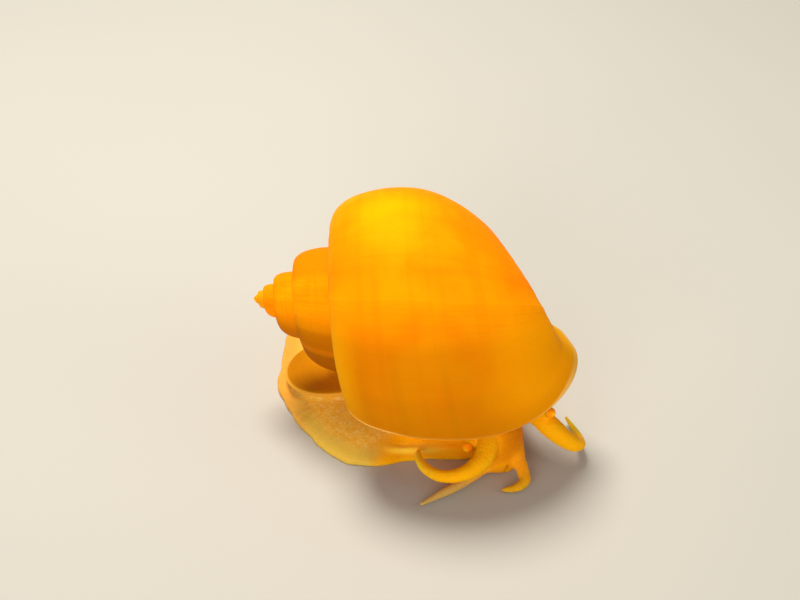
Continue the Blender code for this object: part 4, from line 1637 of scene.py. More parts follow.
@dataclass
class Snout(Ridge):
    """Head and snout: oval rings along a bent route, whose radii are half the rings' widths."""

    span_steps: int = 3
    half_heights: tuple[float, ...] = ()
    yaw: float = math.radians(-60.0)

    def stations(self) -> Array:
        """Rows of (x, y, z, half width, half height)."""
        rows = [(*place, wide, high) for (place, wide), high in zip(self.route, self.half_heights)]
        return smooth_rows(np.array(rows), self.span_steps)

    def gap(self, offset: Array, start: Array, end: Array, length: float) -> tuple[Array, Array]:
        """Distance to the oval stretch between two stations.

        Args:
            offset: Places, from the first station.
            start: First station.
            end: Second station.
            length: Distance between them.

        Returns:
            Signed distances, and the nearest shares of the stretch.
        """
        across = np.array([-math.sin(self.yaw), math.cos(self.yaw), 0.0])
        forward = (end[:3] - start[:3]) / length
        side = across - forward * (across @ forward)
        side /= np.linalg.norm(side)
        run = offset @ forward
        t = np.clip(run / length, 0.0, 1.0)
        wide, high = (start[k] + t * (end[k] - start[k]) for k in (3, 4))
        u, v = offset @ side / wide, offset @ np.cross(side, forward) / high
        oval = np.sqrt(u**2 + v**2 + ((run - t * length) / high) ** 2)
        return (oval - 1.0) * np.minimum(wide, high), t


@dataclass
class Foot(Flesh):
    """Broad foot with a thin edge, and the low lobe that carries the operculum."""

    outline: tuple[Pair, ...]
    plate: Operculum
    kind: Kind = Kind.FOOT
    centre: Pair = (-1.0, -1.0)
    mean_radius: float = 17.0
    outline_steps: int = 6
    profile_steps: int = 4
    profile: tuple = (
        (1.0, 0.0), (1.002, 0.25), (1.0, 0.5), (0.985, 0.85), (0.94, 1.3), (0.86, 1.85), (0.74, 2.45),
        (0.58, 2.95), (0.4, 3.3), (0.2, 3.5),
    )
    pad_share: float = 0.88
    pad_fillet: float = 1.2
    pad_edge: float = 0.7
    pad_gap: float = 0.02
    fillet: float = 0.5
    wave: float = 0.16
    ripples: tuple = ((11.0, 0.6, 1.0), (19.0, 2.0, 0.7), (31.0, 0.0, 0.5))
    room: float = 0.3
    top: float = 5.2
    under: Pair = (-5.0, -1.0)
    table_margin: float = 3.0
    table_step: float = 0.08

    def __post_init__(self) -> None:
        """Prepares the tables of the outline and the profile."""
        loop = smooth_ring(np.array(self.outline), self.outline_steps) - np.array(self.centre)
        bearing = np.arctan2(loop[:, 1], loop[:, 0])
        order = np.argsort(bearing)
        self.bearing = bearing[order]
        self.radius = np.hypot(loop[:, 0], loop[:, 1])[order]
        rows = smooth_rows(np.array(self.profile), self.profile_steps) * np.array([self.mean_radius, 1.0])
        inward, below = self.under
        tuck, crest = [rows[0, 0] - self.room, below], [inward, self.profile[-1][1]]
        closed = np.vstack([self.under, tuck, rows, crest])
        self.table = OutlineTable(closed, self.table_margin, self.table_step)

    def box(self) -> tuple[Array, Array]:
        """Lowest and highest corner.

        Returns:
            The two corners.
        """
        rows = np.array(self.outline)
        low, high = rows.min(axis=0) - self.room, rows.max(axis=0) + self.room
        return np.array([*low, -self.room]), np.array([*high, self.top])

    def share(self, points: Array) -> tuple[Array, Array]:
        """Where places lie between the foot's middle and its edge.

        Args:
            points: Places, one per line.

        Returns:
            Shares of the outline's radius, and bearings from the middle.
        """
        x, y = points[:, 0] - self.centre[0], points[:, 1] - self.centre[1]
        bearing = np.arctan2(y, x)
        edge = np.interp(bearing, self.bearing, self.radius, period=TURN)
        ripple = sum(size * np.sin(bearing * pace + phase) for pace, phase, size in self.ripples)
        edge = edge - self.wave * (1.0 - 0.5 * ripple)
        return np.hypot(x, y) / edge, bearing

    def distance(self, points: Array) -> Array:
        """Signed distance to the foot with its lobe.

        Args:
            points: Places, one per line.

        Returns:
            Signed distances.
        """
        share, _ = self.share(points)
        sole = self.table.read(share * self.mean_radius, points[:, 2])
        matrix = np.array(self.plate.matrix())
        own = (points - matrix[:3, 3]) @ matrix[:3, :3]
        angle = np.arctan2(own[:, 1] / self.plate.width, own[:, 0] / self.plate.length)
        widen = 1 - self.plate.taper * np.cos(angle)
        oval = np.hypot(own[:, 0] / self.plate.length, own[:, 1] / (self.plate.width * widen)) * 2.0
        side = (oval - self.pad_share) * 0.5 * self.plate.width
        top = own[:, 2] + self.plate.thickness + self.pad_gap
        return smooth_min(sole, smooth_max(side, top, self.pad_edge), self.pad_fillet)


@dataclass
class Trunk(Flesh):
    """Column of the body from the foot up into the shell."""

    kind: Kind = Kind.BODY
    fillet: float = 1.5
    squareness: float = 2.8
    edge: float = 0.5
    span_steps: int = 6
    rings: tuple = (
        (0.8, 6.2, -5.2, 9.6, 8.5), (2.2, 6.4, -5.3, 9.4, 8.3), (3.6, 6.9, -5.8, 9.0, 7.8),
        (5.4, 7.9, -6.6, 8.4, 7.1), (7.6, 9.4, -7.9, 7.4, 6.4), (10.0, 11.0, -9.6, 6.6, 5.4),
        (12.4, 12.0, -11.2, 6.0, 4.5), (14.6, 12.4, -12.4, 5.6, 3.9), (16.6, 12.4, -13.2, 5.2, 3.4),
    )

    def box(self) -> tuple[Array, Array]:
        """Lowest and highest corner.

        Returns:
            The two corners.
        """
        rings = np.array(self.rings)
        z, middle, half = rings[:, 0], rings[:, 1:3], rings[:, 3:]
        low, high = (middle - half).min(axis=0), (middle + half).max(axis=0)
        return np.array([*low, z[0]]), np.array([*high, z[-1]])

    def distance(self, points: Array) -> Array:
        """Signed distance to the column.

        Args:
            points: Places, one per line.

        Returns:
            Signed distances.
        """
        rows = smooth_rows(np.array(self.rings), self.span_steps)
        z = points[:, 2]
        x, y, long_half, wide_half = (np.interp(z, rows[:, 0], rows[:, k]) for k in range(1, 5))
        power = self.squareness
        u, v = np.abs(points[:, 0] - x) / long_half, np.abs(points[:, 1] - y) / wide_half
        oval = (u**power + v**power + SMALL) ** (1 / power)
        side = (oval - 1.0) * np.minimum(long_half, wide_half)
        return smooth_max(side, np.maximum(z - rows[-1, 0], rows[0, 0] - z), self.edge)


@dataclass
class Mantle(Flesh):
    """Flesh that fills the shell's mouth, with a rolled collar behind the lip."""

    spiral: Spiral
    shell: Shell
    kind: Kind = Kind.MANTLE
    fillet: float = 0.9
    back: float = math.radians(42.0)
    front: float = math.radians(3.7)
    dish: float = math.radians(2.6)
    collar: float = 1.6
    collar_fade: float = 3.0
    least_radius: float = 3.0
    gap: float = 0.1
    edge: float = 1.2
    box_steps: tuple = (-1.0, -0.6, -0.3, 0.0)
    box_front: float = 0.25
    table_margin: float = 3.0
    table_step: float = 0.12
    span_steps: int = 5
    outline: tuple = (
        (12.3, 16.7), (15.2, 16.5), (17.3, 18.6), (19.0, 22.2), (19.9, 26.3), (19.6, 30.6),
        (18.3, 34.5), (16.1, 38.3), (13.4, 41.3), (10.1, 43.1), (7.0, 43.1), (4.8, 41.1),
        (4.3, 37.3), (4.3, 32.3), (4.5, 27.9), (6.4, 25.3), (8.8, 22.7), (10.6, 19.5),
    )

    def __post_init__(self) -> None:
        """Prepares the table of the outline and the lip's leads."""
        self.loop = smooth_ring(np.array(self.outline), self.span_steps)
        self.table = OutlineTable(self.loop, self.table_margin, self.table_step)
        section, leads = self.shell.rows, self.shell.leads
        outer = section[:, 1] >= section[0, 1]
        order = np.argsort(section[outer, 1])
        self.lead_along, self.lead = section[outer, 1][order], leads[outer][order]

    def box(self) -> tuple[Array, Array]:
        """Lowest and highest corner.

        Returns:
            The two corners.
        """
        angles = [*(step * self.back for step in self.box_steps), self.box_front]
        radius, along = self.loop.T
        everything = np.vstack([self.spiral.place(radius, along, angle) for angle in angles])
        return everything.min(axis=0), everything.max(axis=0)

    def distance(self, points: Array) -> Array:
        """Signed distance to the plug of flesh.

        Args:
            points: Places, one per line.

        Returns:
            Signed distances.
        """
        radius, along, angle = self.spiral.unroll(points)
        side = self.table.read(radius, along)
        lead = np.interp(along, self.lead_along, self.lead)
        depth = (self.spiral.suture_end + lead - angle) / (1 + lead / self.shell.cavity_depth)
        hollow = self.dish * ease((-side - self.collar) / self.collar_fade)
        reach = np.maximum(radius, self.least_radius)
        ends = np.maximum(self.front + hollow - depth, depth - self.back) * reach
        return smooth_max(side + self.gap, ends, self.edge)


class Field:
    """Signed distance to the flesh on a regular net of knots, from which the skin is drawn."""

    room: float = 2.0

    def __init__(self, low: Array, high: Array, step: float) -> None:
        """Starts with empty space.

        Args:
            low: Lowest corner.
            high: Highest corner.
            step: Spacing of the knots.
        """
        self.low, self.step = low, step
        size = np.ceil((high - low) / step).astype(int) + 1
        self.values = np.full(size, FAR, np.float32)

    def window(self, low: Array, high: Array, margin: float) -> tuple[tuple[slice, ...], Array]:
        """Part of the net round a box.

        Args:
            low: Lowest corner of the box.
            high: Highest corner of the box.
            margin: Room kept round it.

        Returns:
            The slices of the net, and the places of its knots.
        """
        size = np.array(self.values.shape)
        first = np.clip(np.floor((low - margin - self.low) / self.step).astype(int), 0, size)
        last = np.clip(np.ceil((high + margin - self.low) / self.step).astype(int) + 1, 0, size)
        axes = [self.low[k] + self.step * np.arange(first[k], last[k]) for k in range(3)]
        places = np.stack([axis.ravel() for axis in np.meshgrid(*axes, indexing="ij")], axis=1)
        return tuple(slice(a, b) for a, b in zip(first, last)), places

    def join(self, part: Flesh) -> None:
        """Adds a part, with its fillet.

        Args:
            part: The part.
        """
        cut, places = self.window(*part.box(), self.room)
        own = part.distance(places).reshape(self.values[cut].shape)
        reach = part.reach_of_fillet(places).reshape(own.shape)
        self.values[cut] = smooth_min(self.values[cut], own, reach)

    def press(self, part: object, rounding: float) -> None:
        """Presses a part's shape into the flesh.

        Args:
            part: The part.
            rounding: Reach of its rounded edge.
        """
        cut, places = self.window(*part.box(), self.room)
        own = part.distance(places).reshape(self.values[cut].shape)
        self.values[cut] = smooth_max(self.values[cut], -own, rounding)

    def rest_on_floor(self, height: float) -> None:
        """Ends the flesh flat on the floor."""
        z = self.low[2] + self.step * np.arange(self.values.shape[2])
        self.values = np.maximum(self.values, (height - z)[None, None, :].astype(np.float32))

    def draw(self) -> tuple[Array, Array]:
        """Draws the surface where the distance is nought, one vertex to each crossed cell.

        Returns:
            Places, and quads that face out.
        """
        values = self.values
        inside = values < 0
        whole = [slice(None, -1), slice(1, None)]
        corners = [(a, b, c) for a in (0, 1) for b in (0, 1) for c in (0, 1)]
        count = sum(inside[whole[a], whole[b], whole[c]].astype(np.int8) for a, b, c in corners)
        active = (count > 0) & (count < 8)
        ids = np.full(active.shape, -1, np.int64)
        cells = np.argwhere(active)
        ids[active] = np.arange(len(cells))
        held = {c: values[cells[:, 0] + c[0], cells[:, 1] + c[1], cells[:, 2] + c[2]] for c in corners}
        total, hits = np.zeros((len(cells), 3)), np.zeros(len(cells))
        for start in corners:
            for axis in range(3):
                if start[axis]:
                    continue
                end = tuple(1 if k == axis else start[k] for k in range(3))
                a, b = held[start], held[end]
                crossed = (a < 0) != (b < 0)
                t = np.where(crossed, a / np.where(crossed, a - b, 1.0), 0.0)
                spot = np.tile(np.array(start, float), (len(cells), 1))
                spot[:, axis] = t
                total += spot * crossed[:, None]
                hits += crossed
        places = (cells + total / hits[:, None]) * self.step + self.low
        quads = []
        for axis in range(3):
            one, two = (axis + 1) % 3, (axis + 2) % 3
            near = [slice(None)] * 3
            near[one] = near[two] = slice(1, -1)
            far = list(near)
            near[axis], far[axis] = slice(None, -1), slice(1, None)
            a, b = inside[tuple(near)], inside[tuple(far)]
            spots = np.argwhere(a != b)
            leaves = a[a != b]
            ring = []
            for shift_one, shift_two in ((0, 0), (1, 0), (1, 1), (0, 1)):
                cell = spots.copy()
                cell[:, one] += shift_one
                cell[:, two] += shift_two
                ring.append(ids[cell[:, 0], cell[:, 1], cell[:, 2]])
            quad = np.stack(ring, axis=1)
            quads.append(np.where(leaves[:, None], quad, quad[:, ::-1]))
        return places, np.vstack(quads)


class Relaxer:
    """Smooths a mesh without shrinking it."""

    def __init__(self, count: int, quads: Array) -> None:
        """Finds the neighbours of each vertex.

        Args:
            count: Number of vertices.
            quads: Faces.
        """
        ends = np.vstack([quads[:, [k, (k + 1) % 4]] for k in range(4)])
        ends = np.unique(np.sort(ends, axis=1), axis=0)
        self.start = np.concatenate([ends[:, 0], ends[:, 1]])
        self.end = np.concatenate([ends[:, 1], ends[:, 0]])
        self.count = count
        self.degree = np.maximum(np.bincount(self.start, minlength=count), 1)

    def mean(self, rows: Array) -> Array:
        """Mean of the neighbours' rows.

        Args:
            rows: Numbers, one row per vertex.

        Returns:
            The means.
        """
        near = rows[self.end].T
        sums = [np.bincount(self.start, weights=column, minlength=self.count) for column in near]
        return np.stack(sums, axis=1) / self.degree[:, None]

    def relax(self, points: Array, rounds: int, pull: float = 0.5, push: float = -0.53) -> Array:
        """Smooths places by rounds of pull and push.

        Args:
            points: Places, one per vertex.
            rounds: How many rounds.
            pull: Share of the way to the neighbours' mean.
            push: The same, back out.

        Returns:
            The places.
        """
        for _ in range(rounds):
            points = points + pull * (self.mean(points) - points)
            points = points + push * (self.mean(points) - points)
        return points


def vertex_normals(points: Array, quads: Array) -> Array:
    """Unit normals of a quad mesh.

    Args:
        points: Places, one per vertex.
        quads: Faces.

    Returns:
        Normals, one per vertex.
    """
    across = points[quads[:, 2]] - points[quads[:, 0]]
    down = points[quads[:, 3]] - points[quads[:, 1]]
    flat = np.cross(across, down)
    normals = np.zeros_like(points)
    for axis in range(3):
        for corner in range(4):
            normals[:, axis] += np.bincount(quads[:, corner], weights=flat[:, axis], minlength=len(points))
    return normals / np.maximum(np.linalg.norm(normals, axis=1, keepdims=True), TINY)


@dataclass
class Dimple:
    """Oval hollow that is pressed into the flesh."""

    centre: Point
    half: tuple[float, float, float]
    yaw: float

    def box(self) -> tuple[Array, Array]:
        """Lowest and highest corner."""
        middle = np.array(self.centre)
        return middle - max(self.half), middle + max(self.half)

    def distance(self, points: Array) -> Array:
        """Signed distance to the hollow.

        Args:
            points: Places, one per line.

        Returns:
            Signed distances.
        """
        offset = points - np.array(self.centre)
        c, s = math.cos(self.yaw), math.sin(self.yaw)
        x, y, z = offset.T
        own = np.stack([x * c + y * s, y * c - x * s, z], axis=1) / np.array(self.half)
        return (np.sqrt(own[:, 0] ** 2 + own[:, 1] ** 2 + own[:, 2] ** 2) - 1.0) * min(self.half)


@dataclass
class Eye:
    """Eyeball at the end of its short stalk."""

    name: str
    root: Point
    centre: Point
    finish: EyeFinish
    radius: float = 0.74
    stalk_radius: float = 0.98
    forward: float = 0.35
    rim_forward: float = 0.1
    taper: tuple = ((0.0, 1.15), (0.5, 1.0), (0.85, 0.93), (1.0, 0.72))
    stalk_fillet: float = 0.9
    socket_gap: float = 0.02
    flatter: float = 0.03
    flat_to: float = 0.9
    rows: int = 40
    segments: int = 64

    def axis(self) -> Array:
        """Unit direction from the stalk's root to the eye."""
        along = np.array(self.centre) - np.array(self.root)
        return along / np.linalg.norm(along)

    def ball(self) -> Array:
        """Middle of the eyeball."""
        return np.array(self.centre) + self.axis() * self.forward

    def stalk(self) -> Limb:
        """The stalk, which ends in a low rim round the eyeball.

        Returns:
            The stalk.
        """
        root, tip = np.array(self.root), np.array(self.centre) + self.axis() * self.rim_forward
        route = [(tuple(root + (tip - root) * at), self.stalk_radius * size) for at, size in self.taper]
        return Limb(tuple(route), Kind.FEELER, self.stalk_fillet)

    def socket(self) -> Dimple:
        """Hollow that the eyeball sits in."""
        size = self.radius + self.socket_gap
        return Dimple(tuple(self.ball()), (size, size, size), 0.0)

    def build(self) -> Piece:
        """Builds the eyeball with its slightly raised middle.

        Returns:
            The eyeball.
        """
        axis = Vector(self.axis())
        turn = np.array(axis.to_track_quat("Z", "Y").to_matrix())
        polar = np.linspace(0.0, math.pi, self.rows)
        round_ = np.arange(self.segments) * TURN / self.segments
        bulge = 1.0 - self.flatter * ease(polar / self.flat_to)
        ring = np.sin(polar)[:, None] * bulge[:, None]
        own = np.stack(
            [
                ring * np.cos(round_)[None],
                ring * np.sin(round_)[None],
                np.broadcast_to((np.cos(polar) * bulge)[:, None], (self.rows, self.segments)),
            ],
            axis=-1,
        )
        points = own.reshape(-1, 3) * self.radius @ turn.T + self.ball()
        ids = np.arange(len(points)).reshape(self.rows, self.segments)
        obj = make_object(f"{self.name}_piece", points, grid_quads(ids, True), self.finish.build())
        set_values(obj, "polar", np.repeat(polar / math.pi, self.segments))
        face_out(obj)
        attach(obj, "root")
        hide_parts(self.name)
        log.info("%s: %d faces", self.name, len(obj.data.polygons))
        return obj


@dataclass
class Skin:
    """One skin over foot, neck, head, feelers, siphon and mantle."""

    spiral: Spiral
    shell: Shell
    plate: Operculum
    eyes: tuple[Eye, Eye]
    finish: SkinFinish
    step: float = 0.16
    coarse_step: float = 0.3
    sole: tuple = (
        (-18.0, 0.8), (-16.8, -2.7), (-14.4, -7.7), (-11.3, -12.4), (-7.5, -15.9), (-4.0, -16.5),
        (0.0, -15.7), (4.2, -15.0), (8.4, -15.0), (11.8, -14.6), (14.8, -12.4), (16.8, -8.6),
        (17.6, -4.0), (17.2, 0.6), (14.6, 5.2), (9.6, 9.2), (3.2, 12.2), (-4.0, 14.6),
        (-10.6, 16.0), (-16.7, 14.6), (-17.6, 11.3), (-17.9, 6.0),
    )
    head: tuple = (
        ((9.2, -8.0, 6.2), 3.9), ((11.6, -11.2, 6.3), 4.1), ((12.85, -13.5, 5.7), 3.85),
        ((13.6, -15.1, 4.5), 3.45), ((14.0, -16.05, 3.0), 3.15), ((14.2, -16.5, 1.9), 3.15),
        ((14.2, -16.7, 1.3), 2.8),
    )
    head_half_heights: tuple = (3.4, 3.5, 3.4, 3.0, 2.4, 2.0, 1.6)
    ridge: tuple = (
        ((-3.0, -14.0, 1.15), 0.2), ((-1.4, -14.3, 1.3), 0.34), ((1.0, -14.35, 1.35), 0.36),
        ((4.0, -14.25, 1.4), 0.34), ((7.0, -14.2, 1.45), 0.3), ((9.6, -14.0, 1.4), 0.22),
    )
    head_yaw: float = math.radians(-60.0)
    mouth: Point = (14.75, -18.25, 1.0)
    mouth_half: tuple[float, float, float] = (0.22, 0.8, 0.95)
    tentacles: tuple = (
        (
            ((13.0, -13.2, 6.2), 1.5), ((12.3, -16.4, 5.7), 1.44), ((11.8, -18.4, 4.9), 1.42),
            ((11.2, -19.8, 4.3), 1.36), ((10.1, -21.0, 3.9), 1.22), ((8.6, -22.0, 3.6), 1.05),
            ((6.9, -22.2, 3.3), 0.9), ((5.1, -21.6, 3.0), 0.84), ((3.7, -20.1, 2.7), 0.76),
            ((2.8, -18.2, 2.4), 0.62), ((2.5, -16.6, 2.2), 0.48), ((2.6, -15.6, 2.1), 0.32),
        ),
        (
            ((16.4, -10.4, 6.7), 1.6), ((19.1, -12.8, 6.3), 1.5), ((20.3, -14.0, 5.7), 1.5),
            ((21.5, -14.7, 4.9), 1.45), ((22.7, -15.2, 4.1), 1.3), ((23.9, -15.3, 3.3), 1.1),
            ((24.8, -14.7, 2.6), 0.87), ((25.1, -13.3, 2.1), 0.66), ((24.9, -11.6, 1.8), 0.53),
            ((24.5, -9.9, 1.5), 0.42), ((24.0, -8.1, 1.3), 0.3), ((23.7, -7.1, 1.2), 0.2),
        ),
    )
    palps: tuple = (
        (
            ((13.2, -16.4, 1.9), 1.1), ((12.2, -17.4, 1.8), 0.95), ((11.0, -18.6, 1.35), 0.85),
            ((9.6, -19.9, 1.1), 0.76), ((8.2, -21.0, 0.95), 0.71), ((6.8, -22.1, 0.85), 0.64),
            ((5.4, -23.0, 0.75), 0.53), ((4.0, -23.9, 0.6), 0.36), ((2.9, -24.6, 0.5), 0.24),
        ),
        (
            ((15.6, -15.8, 2.4), 1.1), ((16.1, -17.1, 2.2), 0.98), ((16.6, -18.3, 1.8), 0.9),
            ((16.9, -19.5, 1.4), 0.83), ((17.0, -20.6, 1.1), 0.75), ((16.2, -21.5, 0.9), 0.61),
            ((15.2, -21.8, 0.7), 0.45), ((14.1, -21.8, 0.55), 0.25),
        ),
    )
    siphon: tuple = (
        ((11.4, -4.6, 8.4), 2.3), ((13.2, -2.9, 8.7), 2.2), ((14.9, -1.5, 8.5), 1.95),
        ((16.3, -0.5, 7.9), 1.65), ((17.0, 0.0, 7.4), 1.45),
    )
    fillets: tuple = (("head", 1.6), ("siphon", 1.2), ("ridge", 0.5), ("feeler", 1.3), ("palp", 1.0))
    # Where the painted highlight on the ridge fades out, and how strongly the ridge carries it.
    ridge_highlight_fades: Pair = (3.0, 8.0)
    ridge_highlight_gain: Pair = (1.5, 0.15)
    face_from: Pair = (11.0, 2.5)
    lips_below: Pair = (3.6, 1.5)
    # Where the painted shade on the left feeler's far end starts, and how fast it comes in.
    painted_tip_shade_from: Pair = (0.64, 0.15)
    ghost_gain: float = 1.3
    cream_ends: float = -0.6
    cream_blend: float = 2.6
    cream_slant: float = 0.6
    cream_wander: float = 2.5
    near_side: float = -14.0
    gutter_share: float = 0.6
    gutter_drop: float = 0.75
    gutter_fillet: float = 0.1
    gutter_edge: float = 0.3
    mouth_edge: float = 0.25
    socket_edge: float = 0.12
    floor_gap: float = 0.02
    net_room: float = 0.9
    net_floor: float = -0.6
    relax_rounds: int = 3
    share_reach: float = 8.0
    share_blend: float = 0.45
    still_below: Pair = (0.15, 0.3)
    margin_most: float = 1.2
    lumps: tuple = ((1.5, 11, 0.035), (0.7, 12, 0.018))
    wrinkle_fall: float = -0.35
    wrinkle_bend: float = 0.5
    wrinkle_bend_size: float = 2.0
    wrinkles: tuple = ((5.2, 0.0, 0.6), (8.9, 1.3, 0.4))
    wrinkle_height: float = 0.045
    grain_size: float = 0.45
    grain_height: float = 0.014
    ray_scale: Point = (26.0, 3.0, 0.3)
    ray_height: float = 0.06
    rays_from: Pair = (0.55, 0.4)
    rays_end: Pair = (0.04, 0.4)
    ring_wander: Pair = (1.2, 1.2)

    def parts(self) -> dict[str, Flesh]:
        """Every part of the flesh, in the order in which they are joined.

        Returns:
            The parts by name.
        """
        fillet = dict(self.fillets)
        made: dict[str, Flesh] = {
            "foot": Foot(self.sole, self.plate),
            "trunk": Trunk(),
            "mantle": Mantle(self.spiral, self.shell),
            "head": Snout(
                self.head,
                Kind.BODY,
                fillet["head"],
                half_heights=self.head_half_heights,
                yaw=self.head_yaw,
            ),
            "siphon": Limb(self.siphon, Kind.BODY, fillet["siphon"]),
            "ridge": Ridge(self.ridge, Kind.BODY, fillet["ridge"]),
        }
        for side, (feeler, palp, eye) in enumerate(zip(self.tentacles, self.palps, self.eyes)):
            made[f"feeler_{side}"] = Limb(feeler, Kind.FEELER, fillet["feeler"])
            made[f"palp_{side}"] = Limb(palp, Kind.PALP, fillet["palp"])
            made[f"stalk_{side}"] = eye.stalk()
        return made

    def gutter(self) -> Limb:
        """Hollow of the siphon, which opens downward and forward.

        Returns:
            The hollow, as a limb.
        """
        drop, slimmer = self.gutter_drop, self.gutter_share
        route = [((x, y, z - drop), radius * slimmer) for (x, y, z), radius in self.siphon]
        (a, _), (b, radius) = route[-2], route[-1]
        route.append((tuple(2 * q - p for p, q in zip(a, b)), radius))
        return Limb(tuple(route[1:]), Kind.BODY, self.gutter_fillet)

    def folds(self, points: Array, shares: dict[str, Array], parts: dict[str, Flesh]) -> Array:
        """Height of the skin's folds and rings.

        Args:
            points: Places on the skin.
            shares: Share of each part at each place.
            parts: The parts by name.

        Returns:
            Heights in millimetres.
        """
        lump = sum(value_noise(points, size, seed) * depth for size, seed, depth in self.lumps)
        height = lump * (1 - shares["mantle"])
        body = shares["trunk"] + shares["head"] + shares["siphon"]
        heading = np.array([math.cos(self.head_yaw), math.sin(self.head_yaw), self.wrinkle_fall])
        bend = self.wrinkle_bend * value_noise(points, self.wrinkle_bend_size, 13)
        along = (points + bend[:, None]) @ heading
        wrinkle = sum(np.sin(along * pace + phase) * size for pace, phase, size in self.wrinkles)
        grain = value_noise(points, self.grain_size, 14) * self.grain_height
        height += body * (wrinkle * self.wrinkle_height + grain)
        share, bearing = parts["foot"].share(points)
        spots = np.column_stack([bearing, share, points[:, 2]]) * np.array(self.ray_scale)
        rays = value_noise(spots, 1.0, 15) * self.ray_height
        (first, width), (end, kept) = self.rays_from, self.rays_end
        shown = ease((share - first) / width) * ease((1.0 - share) / end + kept)
        height += shares["foot"] * rays * shown
        size, swing = self.ring_wander
        for name, part in parts.items():
            if isinstance(part, Limb) and part.kind in (Kind.FEELER, Kind.PALP):
                _, reach = part.measure(points)
                rings = np.sin(reach * TURN / part.ring_size + value_noise(points, size, 16) * swing)
                height += shares[name] * rings * part.ring_depth
        return height

    def flesh(self, parts: dict[str, Flesh]) -> tuple[Array, Array]:
        """Draws the surface of all parts, joined, pressed in where eyes, mouth and siphon are.

        Args:
            parts: The parts by name.

        Returns:
            Places, and quads that face out.
        """
        corners = [part.box() for part in parts.values()]
        low = np.min([c[0] for c in corners], axis=0) - self.net_room
        high = np.max([c[1] for c in corners], axis=0) + self.net_room
        low[2] = self.net_floor
        field = Field(low, high, self.step)
        for part in parts.values():
            field.join(part)
        field.press(self.gutter(), self.gutter_edge)
        field.press(Dimple(self.mouth, self.mouth_half, self.head_yaw + TURN / 4), self.mouth_edge)
        for eye in self.eyes:
            field.press(eye.socket(), self.socket_edge)
        field.rest_on_floor(self.floor_gap)
        points, quads = field.draw()
        return Relaxer(len(points), quads).relax(points, self.relax_rounds), quads

    def build(self) -> Piece:
        """Builds the skin and dresses it.

        Returns:
            The skin.
        """
        parts = self.parts()
        points, quads = self.flesh(parts)
        gaps = {name: part.distance(points) for name, part in parts.items()}
        nearest = np.min(list(gaps.values()), axis=0)
        shares = {
            name: np.exp(-np.clip(gap - nearest, 0.0, self.share_reach) / self.share_blend)
            for name, gap in gaps.items()
        }
        total = sum(shares.values())
        shares = {name: share / total for name, share in shares.items()}
        lift = self.folds(points, shares, parts)
        above = ease((points[:, 2] - self.still_below[0]) / self.still_below[1])
        points = points + vertex_normals(points, quads) * (lift * above)[:, None]
        points[:, 2] = np.maximum(points[:, 2], self.floor_gap)
        obj = make_object("skin", points, quads.tolist(), self.finish.build())
        self.mark(obj, points, shares, parts)
        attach(obj, "root")
        feelers = [f"tentacle_{side}_{n}" for side in ("right", "left") for n in (1, 2, 3)]
        sides = [f"{node}_{side}" for node in ("palp", "eye_stalk") for side in ("right", "left")]
        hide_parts("mantle", "neck", "head", "siphon", "foot_front", "foot_tail", *feelers, *sides)
        log.info("skin: %d faces", len(obj.data.polygons))
        return obj

    def mark(
        self, obj: Piece, points: Array, shares: dict[str, Array], parts: dict[str, Flesh]
    ) -> None:
        """Stores what the finish needs to colour each region.

        Args:
            obj: The skin.
            points: Places of its vertices.
            shares: Share of each part at each vertex.
            parts: The parts by name.
        """
        x, y, z = points.T
        along = {name: part.measure(points)[1] / part.length() for name, part in self.limbs(parts).items()}
        regions = {
            kind.value: sum(shares[name] for name, part in parts.items() if part.kind is kind)
            for kind in (Kind.FOOT, Kind.FEELER, Kind.PALP, Kind.MANTLE)
        }
        ends = self.cream_ends + self.cream_slant * (y - self.near_side)
        ends = ends + value_noise(points, self.cream_wander, 17)
        regions["foot"] = regions["foot"] * ease((ends - x) / self.cream_blend)
        face = shares["head"] * ease((x - self.face_from[0]) / self.face_from[1])
        # Painted shade on the far end of the left feeler.
        moss = ease((along["feeler_1"] - self.painted_tip_shade_from[0]) / self.painted_tip_shade_from[1])
        first, last = self.ridge_highlight_fades
        gain, less = self.ridge_highlight_gain
        share, _ = parts["foot"].share(points)
        regions |= {
            "apron": shares["ridge"] + shares["foot"],
            "face": face,
            "lips": face * ease((self.lips_below[0] - z) / self.lips_below[1]),
            "moss": shares["feeler_1"] * moss,
            # Painted highlight along the ridge, fading out towards the front.
            "ridge": ease(gain * shares["ridge"] - less) * ease((last - x) / (last - first)),
            "ghost": shares["palp_0"] * ease(self.ghost_gain * along["palp_0"]),
            "margin": np.clip(share, 0.0, self.margin_most),
            "tip": sum(shares[name] * far for name, far in along.items()),
        }
        for name, values in regions.items():
            set_values(obj, name, values)

    def limbs(self, parts: dict[str, Flesh]) -> dict[str, Limb]:
        """The feelers and palps among the parts."""
        return {name: part for name, part in parts.items() if name.startswith(("feeler", "palp"))}


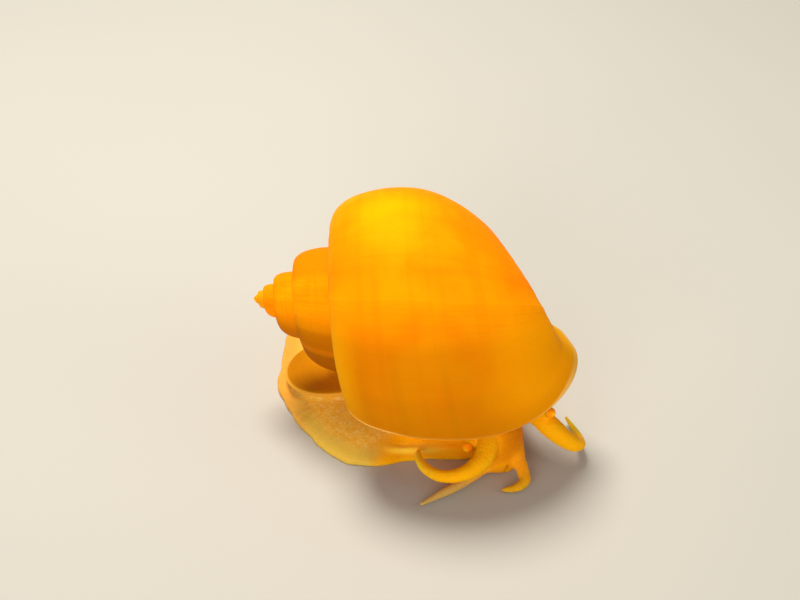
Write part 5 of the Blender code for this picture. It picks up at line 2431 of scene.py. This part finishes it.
@dataclass
class Studio:
    """Pale floor, soft lamps and the camera at the photograph's viewing angle."""

    floor_size: float = 3.0
    target: Point = (0.0, 0.0, 0.01675)
    elevation: float = math.radians(35.0)
    distance: float = 0.240
    lens: float = 76.68
    sensor: float = 36.0
    near: float = 0.01
    far: float = 20.0
    world: Colour = (1.0, 0.95, 0.86)
    world_strength: float = 0.3
    lamps: tuple = (
        ("lamp_top", (-0.07, 0.12, 0.35), 0.16, 1.95, (1.0, 0.94, 0.8)),
        ("lamp_front", (-0.12, -0.38, 0.1), 0.3, 1.25, (1.0, 0.95, 0.84)),
        ("lamp_right", (0.34, -0.14, 0.14), 0.24, 0.32, (1.0, 0.93, 0.82)),
    )

    def build_floor(self) -> None:
        """Lays the floor."""
        half = 0.5 * self.floor_size
        mesh = bpy.data.meshes.new("floor")
        corners = [(-half, -half, 0), (half, -half, 0), (half, half, 0), (-half, half, 0)]
        mesh.from_pydata(corners, [], [(0, 1, 2, 3)])
        mesh.materials.append(FloorFinish().build())
        floor = add_object("floor", mesh)

    def build_lamps(self) -> None:
        """Hangs the lamps and lights the room evenly."""
        for name, place, size, power, colour in self.lamps:
            light = bpy.data.lights.new(name, "AREA")
            light.shape = "DISK"
            light.size = size
            light.energy = power
            light.color = colour
            lamp = add_object(name, light)
            lamp.location = place
            aim = Vector(self.target) - Vector(place)
            lamp.rotation_euler = aim.to_track_quat("-Z", "Y").to_euler()
        world = bpy.data.worlds.new("room")
        world.use_nodes = True
        background = world.node_tree.nodes["Background"]
        background.inputs["Color"].default_value = (*self.world, 1.0)
        background.inputs["Strength"].default_value = self.world_strength
        bpy.context.scene.world = world
        bpy.context.scene.view_settings.view_transform = "Standard"

    def build_camera(self) -> None:
        """Places the camera."""
        data = bpy.data.cameras.new("camera")
        data.lens = self.lens
        data.sensor_width = self.sensor
        data.clip_start = self.near
        data.clip_end = self.far
        camera = add_object("camera", data)
        back = Vector((0.0, -math.cos(self.elevation), math.sin(self.elevation)))
        camera.location = Vector(self.target) + back * self.distance
        camera.rotation_euler = (-back).to_track_quat("-Z", "Y").to_euler()
        bpy.context.scene.camera = camera

    def build(self) -> None:
        """Builds floor, lamps and camera."""
        self.build_floor()
        self.build_lamps()
        self.build_camera()
        log.info("studio ready")


def clear_start() -> None:
    """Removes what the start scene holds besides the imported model."""
    kept = {obj.name for obj in [*frame["nodes"].values(), *frame["bodies"].values()]}
    for obj in list(bpy.data.objects):
        if obj.name not in kept:
            bpy.data.objects.remove(obj)


def main() -> None:
    """Builds the snail and its studio."""
    logging.basicConfig(level=logging.INFO, format="%(name)s: %(message)s")
    clear_start()
    Studio().build()
    spiral = Spiral()
    shell = Shell(spiral, ShellFinish())
    plate = Operculum(OperculumFinish())
    eyes = (
        Eye("eye_right", (11.6, -13.4, 4.9), (9.5, -16.7, 4.1), EyeFinish()),
        Eye("eye_left", (17.6, -11.2, 7.2), (20.35, -14.35, 8.1), EyeFinish()),
    )
    shell.build()
    plate.build()
    for eye in eyes:
        eye.build()
    Skin(spiral, shell, plate, eyes, SkinFinish()).build()


if __name__ == "__main__":
    main()
